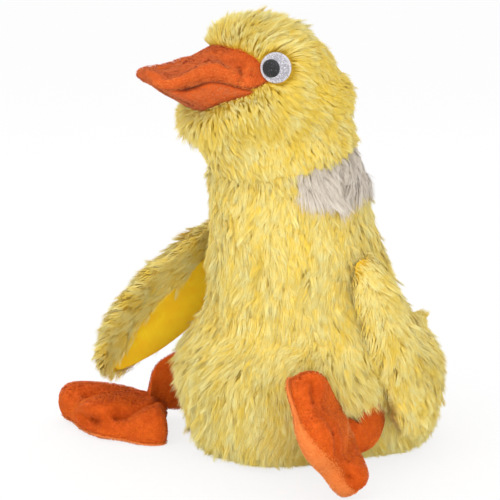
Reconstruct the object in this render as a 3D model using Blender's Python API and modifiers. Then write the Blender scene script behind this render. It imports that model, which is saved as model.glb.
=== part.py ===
"""A sitting plush duck: a furry bell of a body with pellets in its seat, a turning head
with a stuffed two-part bill, floppy wings lined with smooth cloth, and webbed feet on
short soft legs. Metres, +Z up. The duck faces -Y, its left side is +X, and the origin
is the middle of the flat base that it sits on."""

import math

import bmesh
import bpy
from mathutils import Matrix, Vector

MM = 0.001

# Clearances
GAP = 0.3 * MM  # between two pieces that touch
PLAY = 1.5 * MM  # between a limb and what it swings against
BILL_GAP = 0.8 * MM  # round the bill, where the pile is combed away from its root
LINING_GAP = 1.0 * MM  # round a wing's lining
OVERRUN = 20 * MM  # how far a cutter or a trimmed end runs past the cut

# Fabric
PILE = 12 * MM  # long pile and its backing
PANEL_CLOTH = 3 * MM  # the flat panel under the seat
SOLE_CLOTH = 3 * MM  # the flat panel under a foot

# Body
BODY_HEIGHT = 200 * MM  # floor to the middle of the neck
BODY_RADIUS = 93.5 * MM  # at the belly's widest
NECK_RADIUS = 52.5 * MM
NECK_LEAN = 26 * MM  # how far the neck stands ahead of the base
NECK_TILT = math.radians(12)  # the neck's forward lean
COVER_LIFT = 0.5 * MM  # the pile ends this far above the floor
HOLLOW_DEPTH = 26 * MM  # how far the belly is drawn in where a leg comes out
HOLLOW_ANGLE = math.radians(66)  # from the front to each hollow
HOLLOW_HALF_WIDTH = math.radians(46)

# Pellet pouch
POUCH_RADIUS = 46 * MM
POUCH_HEIGHT = 34 * MM

# White ring of pile round the back of the neck
RING_DROP = 42 * MM  # its height at the back
RING_OPEN = 34 * MM  # its ends lie this far ahead of the neck's axis

# Tail
TAIL_LENGTH = 32 * MM  # past the body
TAIL_RADIUS = 17 * MM
TAIL_HEIGHT = 48 * MM
TAIL_RISE = 16 * MM

# Head
HEAD_HEIGHT = 98 * MM  # neck to crown
HEAD_HALF_LENGTH = 62 * MM
HEAD_HALF_WIDTH = 48.5 * MM
HEAD_FORWARD = 6 * MM  # how far the cheeks stand ahead of the neck's axis
HEAD_TURN = math.radians(-20)  # the duck looks to its right

# Bill
BILL_REACH = 88 * MM  # neck's axis to bill tip
BILL_HALF_WIDTH = 40 * MM  # at the corners of the mouth
BILL_DEPTH = 26 * MM  # mouth to the top of the upper bill
MOUTH_HEIGHT = 56 * MM  # above the neck

# Eyes
EYE_RADIUS = 8.3 * MM
EYE_RIM = 0.9 * MM  # thickness of the raised thread round the eye
EYE_CLOTH = 2 * MM
EYE_SINK = 3.2 * MM  # the white lies this far below the pile's tips
EYE_SIDE = 41.3 * MM  # from the head's middle plane
EYE_FORWARD = 13 * MM
EYE_HEIGHT = 70 * MM
EYE_YAW = math.radians(74)  # from straight ahead
EYE_PITCH = math.radians(20)
PUPIL_RADIUS = 5.5 * MM
PUPIL_CLOTH = 1 * MM
PUPIL_SHIFT = 2.7 * MM  # towards the bill

# Wings
WING_LENGTH = 137 * MM
WING_HALF_WIDTH = 31 * MM
WING_THICKNESS = 15 * MM
WING_CUP = 3 * MM  # how far a wing's edges curl towards the body
WING_BORDER = 9 * MM  # pile that shows round the lining
LEFT_WING_BOW = 15 * MM  # how far its middle stands off the line from shoulder to tip
RIGHT_WING_BOW = 8 * MM
SHOULDER_OUT = 62 * MM
SHOULDER_BACK = -16 * MM
SHOULDER_HEIGHT = 137 * MM
LEFT_WING_DOWN = (0.201, 0.277, -0.940)  # direction from the shoulder to the tip
RIGHT_WING_DOWN = (-0.370, -0.500, -0.772)
LEFT_SHOULDER_RUN = (0.0, -1.0, 0.0)  # direction of the shoulder seam, back to front
RIGHT_SHOULDER_RUN = (0.0, -0.8, 0.6)

# Legs
LEG_HALF_WIDTH = 14 * MM
LEG_HALF_THICKNESS = 7.5 * MM
HIP_OUT = 77 * MM
HIP_BACK = 5 * MM
HIP_HEIGHT = 38 * MM
LEFT_ANKLE = (83 * MM, -53 * MM, 42.4 * MM)  # the left foot stands on its outer toe
LEFT_TOES = (0.382, -0.923, 0.015)  # direction of the middle toe
LEFT_FOOT_UP = (0.817, 0.345, 0.460)  # direction that the upper side faces
RIGHT_ANKLE = (-105 * MM, -57 * MM, 13 * MM)  # the right foot lies flat
RIGHT_TOES = (0.05, -0.99, 0.0)
RIGHT_FOOT_UP = (0.0, 0.0, 1.0)

# Feet
SOLE_FLAT = 0.5 * MM  # the sole is pressed flat by this much
FOOT_REACH = 53 * MM  # ankle to the tip of the middle toe
FOOT_FAN = math.radians(54)  # from the middle toe to each outer toe
FOOT_THICKNESS = 26 * MM
HEEL_RADIUS = 15 * MM
CHANNEL_DEPTH = 6 * MM  # sewn channels between the toes

AROUND = 16  # points round the cage of a body or a head
LIMB_AROUND = 8  # points round the cage of a limb
DISC_AROUND = 24  # sides of a flat round piece

LEMON = (0.86, 0.73, 0.24)
WHITE = (0.88, 0.86, 0.82)
ORANGE = (0.80, 0.13, 0.025)
GOLD = (0.74, 0.34, 0.03)
BLACK = (0.01, 0.01, 0.012)
NATURAL = (0.80, 0.78, 0.72)


def clear_scene():
    """Start from an empty scene."""
    for thing in list(bpy.data.objects):
        bpy.data.objects.remove(thing)


clear_scene()
duck = bpy.data.collections.new("plush_duck")
cutters = bpy.data.collections.new("cutters")
bpy.context.scene.collection.children.link(duck)
bpy.context.scene.collection.children.link(cutters)


def cloth(name, colour, roughness):
    """A fabric's material."""
    made = bpy.data.materials.new(name)
    made.use_nodes = True
    shader = made.node_tree.nodes["Principled BSDF"]
    shader.inputs["Base Color"].default_value = (*colour, 1.0)
    shader.inputs["Roughness"].default_value = roughness
    shader.inputs["Metallic"].default_value = 0.0
    return made


lemon_pile = cloth("lemon_pile", LEMON, 0.95)
white_pile = cloth("white_pile", WHITE, 0.95)
orange_pile = cloth("orange_short_pile", ORANGE, 0.85)
gold_knit = cloth("gold_lining", GOLD, 0.7)
eye_thread = cloth("white_thread", WHITE, 0.45)
black_thread = cloth("black_thread", BLACK, 0.4)
filling_fibre = cloth("filling_fibre", NATURAL, 1.0)
pouch_cloth = cloth("pouch_cloth", NATURAL, 0.9)


def add_object(name, mesh, material):
    """A piece of the duck, or a cutter if it has no material."""
    made = bpy.data.objects.new(name, mesh)
    if material:
        duck.objects.link(made)
        mesh.materials.append(material)
    else:
        cutters.objects.link(made)
        made.hide_render = True
        made.display_type = "WIRE"
    return made


def cage(name, rings, material, start=True, end=True, flat_ends=False):
    """Join rings of points with quads into a coarse cage, closed at the ends that are asked
    for. A flat end is zipped shut across, from the ring's first row of points to its last."""
    shape = bmesh.new()
    rows = [[shape.verts.new(point) for point in ring] for ring in rings]
    for low, high in zip(rows, rows[1:]):
        for i in range(len(low)):
            j = (i + 1) % len(low)
            shape.faces.new((low[i], low[j], high[j], high[i]))
    for row, wanted in ((rows[0], start), (rows[-1], end)):
        if wanted and flat_ends:
            for i in range(len(row) // 2 - 1):
                shape.faces.new((row[i], row[i + 1], row[-2 - i], row[-1 - i]))
        elif wanted:
            shape.faces.new(row)
    if start and end:
        bmesh.ops.recalc_face_normals(shape, faces=shape.faces)
    mesh = bpy.data.meshes.new(name)
    shape.to_mesh(mesh)
    shape.free()
    mesh.shade_smooth()
    return add_object(name, mesh, material)


def soften(made, levels=1):
    """Round a coarse cage into a soft form."""
    smooth = made.modifiers.new("soften", "SUBSURF")
    smooth.levels = levels
    smooth.render_levels = levels


def swell(made, distance):
    """Move a closed form's surface out by a distance, or in by a negative one."""
    push = made.modifiers.new("swell", "DISPLACE")
    push.strength = distance
    push.mid_level = 0.0


def line_with(made, thickness):
    """Give an open surface a thickness, measured inwards."""
    wall = made.modifiers.new("wall", "SOLIDIFY")
    wall.thickness = thickness
    wall.offset = -1.0
    wall.use_even_offset = True


def cut(made, *by):
    """Take the cutters away from a piece."""
    for cutter in by:
        step = made.modifiers.new("cut " + cutter.name, "BOOLEAN")
        step.operation = "DIFFERENCE"
        step.solver = "EXACT"
        step.object = cutter


def pivot(name, matrix, parent=None):
    """An empty on a joint's axis."""
    made = bpy.data.objects.new(name, None)
    made.empty_display_size = OVERRUN
    duck.objects.link(made)
    if parent:
        made.parent = parent
        made.matrix_parent_inverse = parent.matrix_world.inverted()
    made.matrix_world = matrix
    bpy.context.view_layer.update()
    return made


def hang(made, carrier):
    """Let a piece modelled in its carrier's own frame ride on it."""
    made.parent = carrier


def half_space(name, point, normal):
    """A box as large as the duck on the side of a plane that its normal points to."""
    side = 2 * (BODY_HEIGHT + HEAD_HEIGHT)
    shape = bmesh.new()
    bmesh.ops.create_cube(shape, size=side)
    mesh = bpy.data.meshes.new(name)
    shape.to_mesh(mesh)
    shape.free()
    box = add_object(name, mesh, None)
    up = Vector(normal).normalized()
    box.rotation_euler = up.to_track_quat("Z", "Y").to_euler()
    box.location = Vector(point) + up * side / 2
    return box


def mix(low, high, share):
    """A size between two others."""
    return low + (high - low) * share


def oval_ring(centre, across, along, tilt=0.0, around=AROUND):
    """Points round a level oval, whose back edge is raised by the tilt. The cage stands a
    little outside the round form that it is softened into."""
    outside_share = 3.0 / (2.0 + math.cos(2 * math.pi / around))
    ring = []
    for step in range(around):
        turn = 2 * math.pi * step / around
        back = along * math.sin(turn) * outside_share
        ring.append(
            Vector(centre)
            + Vector((across * math.cos(turn) * outside_share, back * math.cos(tilt), back * math.sin(tilt)))
        )
    return ring


# Body

# Each ring of the body: its height, its swell from neck to belly, its share of the
# neck's lean and tilt, and how much of the leg hollows it has
BODY_RING_SHARES = (
    (-0.10, 0.40, 0.00, 1.00),
    (0.00, 0.70, 0.00, 1.00),
    (0.08, 0.87, 0.00, 1.00),
    (0.17, 0.98, 0.00, 0.65),
    (0.27, 1.02, 0.00, 0.15),
    (0.36, 0.85, 0.00, 0.00),
    (0.44, 0.54, 0.10, 0.00),
    (0.53, 0.29, 0.26, 0.00),
    (0.66, 0.18, 0.50, 0.00),
    (0.80, 0.09, 0.75, 0.00),
    (0.93, 0.02, 0.93, 0.00),
    (1.08, 0.00, 1.08, 0.00),
)


def body_rings():
    """The body's cage, from below the floor to above the neck, with a hollow for each leg."""
    rings = []
    for height, swelling, lean, hollow in BODY_RING_SHARES:
        centre = (0.0, -NECK_LEAN * lean, BODY_HEIGHT * height)
        radius = mix(NECK_RADIUS, BODY_RADIUS, swelling)
        ring = oval_ring(centre, radius, radius, NECK_TILT * min(lean, 1.0))
        for point in ring:
            outwards = Vector((point.x, point.y - centre[1], 0.0)).normalized()
            from_front = math.acos(-outwards.y)
            miss = abs(from_front - HOLLOW_ANGLE) / HOLLOW_HALF_WIDTH
            if miss < 1.0:
                point -= outwards * HOLLOW_DEPTH * hollow * math.cos(miss * math.pi / 2) ** 2
        rings.append(ring)
    return rings


neck_middle = Vector((0.0, -NECK_LEAN, BODY_HEIGHT))
neck_axis = Vector((0.0, -math.sin(NECK_TILT), math.cos(NECK_TILT)))
neck_back = Vector((0.0, math.cos(NECK_TILT), math.sin(NECK_TILT)))

above_neck = half_space("above_neck", neck_middle - neck_axis * GAP / 2, neck_axis)
below_cover = half_space("below_cover", (0.0, 0.0, COVER_LIFT), (0.0, 0.0, -1.0))
below_floor = half_space("below_floor", (0.0, 0.0, 0.0), (0.0, 0.0, -1.0))
above_panel = half_space("above_panel", (0.0, 0.0, PANEL_CLOTH), (0.0, 0.0, 1.0))
below_filling = half_space("below_filling", (0.0, 0.0, PANEL_CLOTH + GAP), (0.0, 0.0, -1.0))

# The seam under the white ring falls from the ring's two ends to the middle of the back
ring_seam_end = neck_middle - neck_back * RING_OPEN
ring_seam_back = neck_middle + neck_back * NECK_RADIUS - neck_axis * RING_DROP
ring_seam_run = ring_seam_back - ring_seam_end
ring_seam_normal = Vector((1.0, 0.0, 0.0)).cross(ring_seam_run).normalized()
above_ring_seam = half_space("above_ring_seam", ring_seam_end - ring_seam_normal * GAP / 2, ring_seam_normal)
below_ring_seam = half_space("below_ring_seam", ring_seam_end + ring_seam_normal * GAP / 2, -ring_seam_normal)

body_cover = cage("body_cover", body_rings(), lemon_pile, start=False, end=False)
soften(body_cover)
line_with(body_cover, PILE)
cut(body_cover, above_neck, above_ring_seam, below_cover)

neck_ring = cage("neck_ring", body_rings(), white_pile, start=False, end=False)
soften(neck_ring)
line_with(neck_ring, PILE)
cut(neck_ring, above_neck, below_ring_seam)

base_panel = cage("base_panel", body_rings(), orange_pile)
soften(base_panel)
swell(base_panel, -PILE - GAP)
cut(base_panel, below_floor, above_panel)


# Pellet pouch, a squat bag in the middle of the seat
POUCH_RING_SHARES = ((0.00, 0.55), (0.06, 0.86), (0.35, 1.00), (0.70, 0.82), (0.95, 0.45), (1.00, 0.15))


def pouch_rings(drop=0.0):
    """The pouch's cage, whose lowest ring can be let down through the panel."""
    foot = PANEL_CLOTH + 2 * GAP
    rings = [
        oval_ring((0.0, 0.0, foot + POUCH_HEIGHT * height), POUCH_RADIUS * width, POUCH_RADIUS * width)
        for height, width in POUCH_RING_SHARES
    ]
    if drop:
        wide = POUCH_RADIUS * POUCH_RING_SHARES[2][1]
        middle = (0.0, 0.0, foot + POUCH_HEIGHT * POUCH_RING_SHARES[2][0])
        rings = [
            oval_ring((0.0, 0.0, foot - drop), wide, wide),
            oval_ring((0.0, 0.0, foot), wide, wide),
            oval_ring(middle, wide, wide),
        ] + rings[3:]
    return rings


pellet_pouch = cage("pellet_pouch", pouch_rings(), pouch_cloth)
soften(pellet_pouch)
pouch_room = cage("pouch_room", pouch_rings(drop=OVERRUN), None)
soften(pouch_room)
swell(pouch_room, GAP)

body_filling = cage("body_filling", body_rings(), filling_fibre)
soften(body_filling)
swell(body_filling, -PILE - GAP)
cut(body_filling, above_neck, below_filling, pouch_room)

# The body as its limbs meet it, with a close fit and with room to swing
body_outside = cage("body_outside", body_rings(), None)
soften(body_outside)
swell(body_outside, GAP)
body_swing_room = cage("body_swing_room", body_rings(), None)
soften(body_swing_room)
swell(body_swing_room, PLAY)


# Tail

# How far out, how thick and how far raised each ring of the tail is
TAIL_RING_SHARES = ((-0.9, 1.05, 0.0), (0.0, 1.0, 0.1), (0.45, 0.82, 0.4), (0.8, 0.55, 0.8), (1.0, 0.25, 1.0))
tail_rings = []
for out, thick, raised in TAIL_RING_SHARES:
    spine = (0.0, BODY_RADIUS + TAIL_LENGTH * out, TAIL_HEIGHT + TAIL_RISE * raised)
    ring = oval_ring((0.0, 0.0, 0.0), TAIL_RADIUS * thick, TAIL_RADIUS * thick, around=LIMB_AROUND)
    upright = Matrix.Rotation(math.pi / 2, 3, "X")
    tail_rings.append([Vector(spine) + upright @ point for point in ring])
tail = cage("tail", tail_rings, lemon_pile)
soften(tail)
cut(tail, body_outside)


# Head, modelled from the neck's middle with its own axis upright

# From the neck to the cheeks: height, swell to the full length and width, forward shift
CHEEK_RING_SHARES = (
    (-0.25, 0.00, 0.0),
    (0.00, 0.00, 0.0),
    (0.11, 0.12, 0.4),
    (0.23, 0.48, 1.1),
    (0.36, 0.95, 1.1),
)
# From the cheeks to the crown: height, length, width and forward shift
CROWN_RING_SHARES = (
    (0.53, 0.95, 0.96, 1.05),
    (0.67, 0.79, 0.90, 1.10),
    (0.80, 0.61, 0.77, 1.40),
    (0.91, 0.42, 0.56, 1.90),
    (0.985, 0.22, 0.30, 2.10),
)


def head_rings():
    """The head's cage, from below the neck to the crown."""
    rings = []
    for height, swelling, forward in CHEEK_RING_SHARES:
        length = mix(NECK_RADIUS, HEAD_HALF_LENGTH, swelling)
        width = mix(NECK_RADIUS, HEAD_HALF_WIDTH, swelling)
        rings.append(oval_ring((0.0, -HEAD_FORWARD * forward, HEAD_HEIGHT * height), width, length))
    for height, length, width, forward in CROWN_RING_SHARES:
        centre = (0.0, -HEAD_FORWARD * forward, HEAD_HEIGHT * height)
        rings.append(oval_ring(centre, HEAD_HALF_WIDTH * width, HEAD_HALF_LENGTH * length))
    return rings


neck_frame = Matrix.Translation(neck_middle) @ Matrix.Rotation(NECK_TILT, 4, "X")
neck_pivot = pivot("neck_pivot", neck_frame @ Matrix.Rotation(HEAD_TURN, 4, "Z"))
below_neck = half_space("below_neck", (0.0, 0.0, GAP / 2), (0.0, 0.0, -1.0))
hang(below_neck, neck_pivot)

head_inside = cage("head_inside", head_rings(), None)
soften(head_inside)
swell(head_inside, -PILE)
hang(head_inside, neck_pivot)


# Bill

# Along the bill: how far ahead, half width, then the heights above the mouth's corners of
# the top's middle, the rolled edge, the lip and the roof of the mouth
UPPER_BILL_SHARES = (
    (0.23, 0.98, 1.00, 0.75, 0.02, 0.10),
    (0.36, 0.93, 1.00, 0.78, 0.06, 0.16),
    (0.50, 0.78, 0.92, 0.84, 0.34, 0.34),
    (0.64, 0.66, 0.78, 0.88, 0.54, 0.42),
    (0.78, 0.64, 0.68, 0.80, 0.42, 0.40),
    (0.90, 0.56, 0.72, 0.84, 0.50, 0.52),
    (0.975, 0.34, 0.76, 0.84, 0.62, 0.62),
)
# The same for the lower bill: half width, floor of the mouth, its edge, flank and underside
LOWER_BILL_SHARES = (
    (0.23, 0.88, 0.00, -0.08, -0.38, -0.52),
    (0.36, 0.86, 0.06, -0.03, -0.42, -0.58),
    (0.50, 0.74, 0.24, 0.22, -0.36, -0.56),
    (0.64, 0.62, 0.32, 0.42, -0.22, -0.44),
    (0.78, 0.56, 0.30, 0.31, -0.04, -0.20),
    (0.90, 0.46, 0.42, 0.40, 0.16, 0.06),
    (0.97, 0.26, 0.50, 0.50, 0.34, 0.30),
)


# The bill's shoulder, between the middle and the edge: how far out it lies, and how much of
# the fall to the edge comes before it
BILL_SHOULDER_SHARES = (0.47, 0.6)


def bill_rings(table, out_share):
    """Rings across the bill. Each goes over the top from the duck's right to its left and
    back under it; out_share says how far out the second row of points lies."""
    rings = []
    shoulder_out, fall = BILL_SHOULDER_SHARES
    for ahead, half, middle, edge, lip, under in table:
        width = BILL_HALF_WIDTH * half
        heights = (middle, mix(middle, edge, fall), edge, (edge + lip) / 2, lip, mix(lip, under, fall), under)
        outs = (0.0, shoulder_out, out_share, 1.0, out_share, shoulder_out, 0.0)
        left = [
            Vector((width * out, -BILL_REACH * ahead, MOUTH_HEIGHT + BILL_DEPTH * height))
            for out, height in zip(outs, heights)
        ]
        right = [Vector((-point.x, point.y, point.z)) for point in reversed(left[1:-1])]
        rings.append(left + right)
    return rings


def bill_part(name, table, out_share):
    """One half of the bill, sewn to the face through a hole in the pile, and its hole."""
    made = cage(name, bill_rings(table, out_share), orange_pile)
    soften(made)
    cut(made, head_inside)
    hole = cage(name + "_hole", bill_rings(table, out_share), None)
    soften(hole)
    swell(hole, BILL_GAP)
    hang(made, neck_pivot)
    hang(hole, neck_pivot)
    return made, hole


UPPER_BILL_EDGE_SHARE = 0.88
LOWER_BILL_EDGE_SHARE = 0.86
upper_bill, upper_bill_hole = bill_part("upper_bill", UPPER_BILL_SHARES, UPPER_BILL_EDGE_SHARE)
lower_bill, lower_bill_hole = bill_part("lower_bill", LOWER_BILL_SHARES, LOWER_BILL_EDGE_SHARE)


# Eyes


def disc(name, radius, depth, material, matrix, carrier):
    """A round pad that stands on the frame's own floor and rides on its carrier."""
    shape = bmesh.new()
    bmesh.ops.create_cone(
        shape, cap_ends=True, segments=DISC_AROUND, radius1=radius, radius2=radius, depth=depth
    )
    bmesh.ops.translate(shape, verts=shape.verts, vec=(0.0, 0.0, depth / 2))
    mesh = bpy.data.meshes.new(name)
    shape.to_mesh(mesh)
    shape.free()
    made = add_object(name, mesh, material)
    hang(made, carrier)
    made.matrix_local = matrix
    return made


def thread_ring(name, radius, thickness, material, matrix, sides=LIMB_AROUND):
    """A rim of thread: a small circle turned about the eye's axis."""
    mesh = bpy.data.meshes.new(name)
    profile = [
        (radius + thickness * math.cos(turn), 0.0, thickness + thickness * math.sin(turn))
        for turn in (-2 * math.pi * step / sides for step in range(sides))
    ]
    mesh.from_pydata(profile, [(i, (i + 1) % sides) for i in range(sides)], [])
    made = add_object(name, mesh, material)
    turned = made.modifiers.new("turn", "SCREW")
    turned.steps = DISC_AROUND
    turned.render_steps = DISC_AROUND
    turned.use_merge_vertices = True
    turned.merge_threshold = GAP / 10
    hang(made, neck_pivot)
    made.matrix_local = matrix
    return made


def eye(side, name):
    """An embroidered eye in a round pocket in the pile. Returns the pocket."""
    surface = Vector((side * EYE_SIDE, -EYE_FORWARD, EYE_HEIGHT))
    look = Matrix.Rotation(side * EYE_YAW, 4, "Z") @ Matrix.Rotation(math.pi / 2 - EYE_PITCH, 4, "X")
    floor = Matrix.Translation(surface) @ look @ Matrix.Translation((0.0, 0.0, -EYE_SINK - EYE_CLOTH))
    rim_radius = EYE_RADIUS + GAP + EYE_RIM
    pocket = disc(
        name + "_eye_pocket", rim_radius + EYE_RIM + GAP, OVERRUN, None,
        floor @ Matrix.Translation((0.0, 0.0, -GAP)), neck_pivot,
    )
    disc(name + "_eye_patch", EYE_RADIUS, EYE_CLOTH, eye_thread, floor, neck_pivot)
    thread_ring(name + "_eye_rim", rim_radius, EYE_RIM, eye_thread, floor)
    ahead = Matrix.Translation((-side * PUPIL_SHIFT, 0.0, EYE_CLOTH + GAP))
    disc(name + "_pupil", PUPIL_RADIUS, PUPIL_CLOTH, black_thread, floor @ ahead, neck_pivot)
    return pocket


left_eye_pocket = eye(1, "left")
right_eye_pocket = eye(-1, "right")
cut(upper_bill, left_eye_pocket, right_eye_pocket)

head_cover = cage("head_cover", head_rings(), lemon_pile, start=False)
soften(head_cover)
line_with(head_cover, PILE)
cut(head_cover, below_neck, upper_bill_hole, lower_bill_hole, left_eye_pocket, right_eye_pocket)
hang(head_cover, neck_pivot)

head_filling = cage("head_filling", head_rings(), filling_fibre)
soften(head_filling)
swell(head_filling, -PILE - GAP)
cut(head_filling, below_neck)
hang(head_filling, neck_pivot)


# Wings, modelled hanging down from the shoulder seam, outer side towards +Y

# Down the wing: how far, half width, thickness, and how far the middle bows out
WING_RING_SHARES = (
    (0.00, 0.66, 0.60, 0.00),
    (0.05, 0.78, 0.92, 0.00),
    (0.18, 0.88, 0.94, 0.15),
    (0.36, 0.99, 1.00, 0.65),
    (0.56, 1.00, 1.00, 1.00),
    (0.76, 0.84, 0.92, 0.85),
    (0.91, 0.54, 0.75, 0.40),
    (0.99, 0.24, 0.45, 0.00),
)


# Across the wing from its trailing edge to its leading edge
WING_ACROSS_SHARES = (-1.0, -0.6, 0.0, 0.6, 1.0)
WING_EDGE_THINNING_SHARE = 0.55  # of the thickness that the edges lack
WING_SWEEP_SHARE = 0.25  # of the half width that the tip is swept forward

# Layers of a wing's thickness, from its inner side to its outer side
WING_FUR_SHARES = (0.0, 1.0)
WING_LINING_SHARES = (0.04, 0.24)
WING_ROOM_SHARES = (-0.20, 0.24)


def wing_sheet(layer_shares, border, bow, lead):
    """Rings down the wing. The border draws the edges in, and lead is the side, +1 or -1,
    of the leading edge."""
    inner, outer = layer_shares
    rings = []
    for down, half, thick, bowed in WING_RING_SHARES:
        width = WING_HALF_WIDTH * half - border
        fall = WING_LENGTH * down
        if border:
            width = max(width, border / 2)
            fall = min(fall, WING_LENGTH - 2 * border)
        ring = []
        for layer, places in ((outer, WING_ACROSS_SHARES), (inner, WING_ACROSS_SHARES[::-1])):
            for across in places:
                curl = WING_CUP * across * across * half
                thin = 1.0 - WING_EDGE_THINNING_SHARE * across * across
                out = bow * bowed + WING_THICKNESS * thick * layer * thin - curl
                sweep = width * across + lead * WING_HALF_WIDTH * WING_SWEEP_SHARE * down * down
                ring.append(Vector((sweep, out, -fall)))
        rings.append(ring)
    return rings


def wing(name, side, down, seam, bow):
    """A wing on its shoulder seam, with the pivot that it swings on."""
    down = Vector(down).normalized()
    along = Vector(seam)
    along = (along - down * along.dot(down)).normalized() * side
    outwards = (-down).cross(along)
    frame = Matrix((along, outwards, -down)).transposed().to_4x4()
    shoulder = Vector((side * SHOULDER_OUT, SHOULDER_BACK, SHOULDER_HEIGHT))
    carrier = pivot(name + "_shoulder_pivot", Matrix.Translation(shoulder) @ frame)
    room_rings = wing_sheet(WING_ROOM_SHARES, WING_BORDER, bow, side)
    room = cage(name + "_lining_room", room_rings, None, flat_ends=True)
    soften(room)
    swell(room, LINING_GAP)
    fur_rings = wing_sheet(WING_FUR_SHARES, 0.0, bow, side)
    fur = cage(name + "_wing_fur", fur_rings, lemon_pile, flat_ends=True)
    soften(fur)
    cut(fur, room, body_swing_room)
    lining_rings = wing_sheet(WING_LINING_SHARES, WING_BORDER, bow, side)
    lining = cage(name + "_wing_lining", lining_rings, gold_knit, flat_ends=True)
    soften(lining)
    cut(lining, body_swing_room)
    for made in (room, fur, lining):
        hang(made, carrier)


wing("left", 1, LEFT_WING_DOWN, LEFT_SHOULDER_RUN, LEFT_WING_BOW)
wing("right", -1, RIGHT_WING_DOWN, RIGHT_SHOULDER_RUN, RIGHT_WING_BOW)


# Legs, soft flat tubes from the hip seam in the body's hollow to the ankle


def tube_rings(spine, flat):
    """Rings along a soft flat tube through the spine's points. flat gives the direction of
    the tube's thickness at each point."""
    rings = []
    for i, middle in enumerate(spine):
        ahead = (spine[min(i + 1, len(spine) - 1)] - spine[max(i - 1, 0)]).normalized()
        thin = (flat[i] - ahead * flat[i].dot(ahead)).normalized()
        wide = ahead.cross(thin)
        ring = oval_ring((0.0, 0.0, 0.0), LEG_HALF_WIDTH, LEG_HALF_THICKNESS, around=LIMB_AROUND)
        rings.append([middle + wide * point.x + thin * point.y for point in ring])
    return rings


# Feet, modelled with the ankle's axis upright, toes towards -Y and the sole on the floor

# From heel to toes: how far out, how thick, and how deep the channels are
FOOT_RING_SHARES = (
    (-1.00, 0.70, 0.0),
    (-0.50, 1.00, 0.0),
    (0.00, 1.05, 0.0),
    (0.30, 1.00, 0.5),
    (0.60, 1.00, 1.0),
    (0.85, 0.88, 1.0),
    (1.00, 0.50, 0.6),
)
# Across the foot: the place in the fan, how far it puffs up, and how far it reaches
TOE_SHARES = (
    (-1.13, 0.55, 0.93),
    (-1.00, 1.00, 1.00),
    (-0.76, 0.82, 0.98),
    (-0.50, 0.12, 0.91),
    (-0.26, 0.82, 1.00),
    (0.00, 1.00, 1.03),
    (0.26, 0.82, 1.00),
    (0.50, 0.12, 0.91),
    (0.76, 0.82, 0.98),
    (1.00, 1.00, 1.00),
    (1.13, 0.55, 0.93),
)


def foot_rings():
    """The foot's cage, from the round heel to the three toes, which puff up between two
    sewn channels and reach past the web."""
    rings = []
    for out, height, channel in FOOT_RING_SHARES:
        top, sole = [], []
        for place, puff, toe_reach in TOE_SHARES:
            angle = FOOT_FAN * place
            heel = HEEL_RADIUS * place / TOE_SHARES[-1][0]
            if out < 0.0:
                across = heel * (1.0 + out / 2)
                ahead = HEEL_RADIUS * out
            else:
                across = mix(heel, FOOT_REACH * toe_reach * math.sin(angle), out)
                ahead = FOOT_REACH * toe_reach * math.cos(angle) * out
            level = FOOT_THICKNESS * height - CHANNEL_DEPTH * channel * (1.0 - puff)
            top.append(Vector((across, -ahead, level)))
            sole.append(Vector((across, -ahead, 0.0)))
        rings.append(top + sole[::-1])
    return rings


def limb(name, side, ankle, toes, top, leg_spine):
    """A leg on its hip and a foot on its ankle, with the pivots that they swing on."""
    hip = Vector((side * HIP_OUT, HIP_BACK, HIP_HEIGHT))
    ankle = Vector(ankle)
    hip_pivot = pivot(name + "_hip_pivot", Matrix.Translation(hip))
    ahead = Vector(toes).normalized()
    upper = Vector(top)
    upper = (upper - ahead * upper.dot(ahead)).normalized()
    frame = Matrix((upper.cross(ahead), -ahead, upper)).transposed().to_4x4()
    ankle_pivot = pivot(name + "_ankle_pivot", Matrix.Translation(ankle), hip_pivot)
    foot_place = Matrix.Translation(ankle - upper * FOOT_THICKNESS / 2) @ frame
    foot_frame = pivot(name + "_foot_frame", foot_place, ankle_pivot)

    below = Matrix.Translation((0.0, 0.0, -OVERRUN))
    heel_height = FOOT_THICKNESS + 2 * OVERRUN
    heel_room = disc(name + "_heel_room", HEEL_RADIUS + 2 * PLAY, heel_height, None, below, foot_frame)
    spine = [hip + (ankle - hip) * share + Vector(bend) for share, bend, thin in leg_spine]
    flat = [Vector(thin) for share, bend, thin in leg_spine]
    leg_rings = [[point - hip for point in ring] for ring in tube_rings(spine, flat)]
    leg = cage(name + "_leg", leg_rings, orange_pile)
    soften(leg)
    hang(leg, hip_pivot)
    cut(leg, body_swing_room, heel_room)

    sole_top = half_space(name + "_sole_top", (0.0, 0.0, SOLE_CLOTH), (0.0, 0.0, 1.0))
    upper_floor = half_space(name + "_upper_floor", (0.0, 0.0, SOLE_CLOTH + GAP), (0.0, 0.0, -1.0))
    sole_floor = half_space(name + "_sole_floor", (0.0, 0.0, SOLE_FLAT), (0.0, 0.0, -1.0))
    upper_part = cage(name + "_foot_upper", foot_rings(), orange_pile, flat_ends=True)
    sole_part = cage(name + "_foot_sole", foot_rings(), orange_pile, flat_ends=True)
    for made in (sole_top, upper_floor, sole_floor, upper_part, sole_part):
        hang(made, foot_frame)
    soften(upper_part)
    soften(sole_part)
    cut(upper_part, body_swing_room, upper_floor)
    cut(sole_part, body_swing_room, sole_top, sole_floor)


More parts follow.
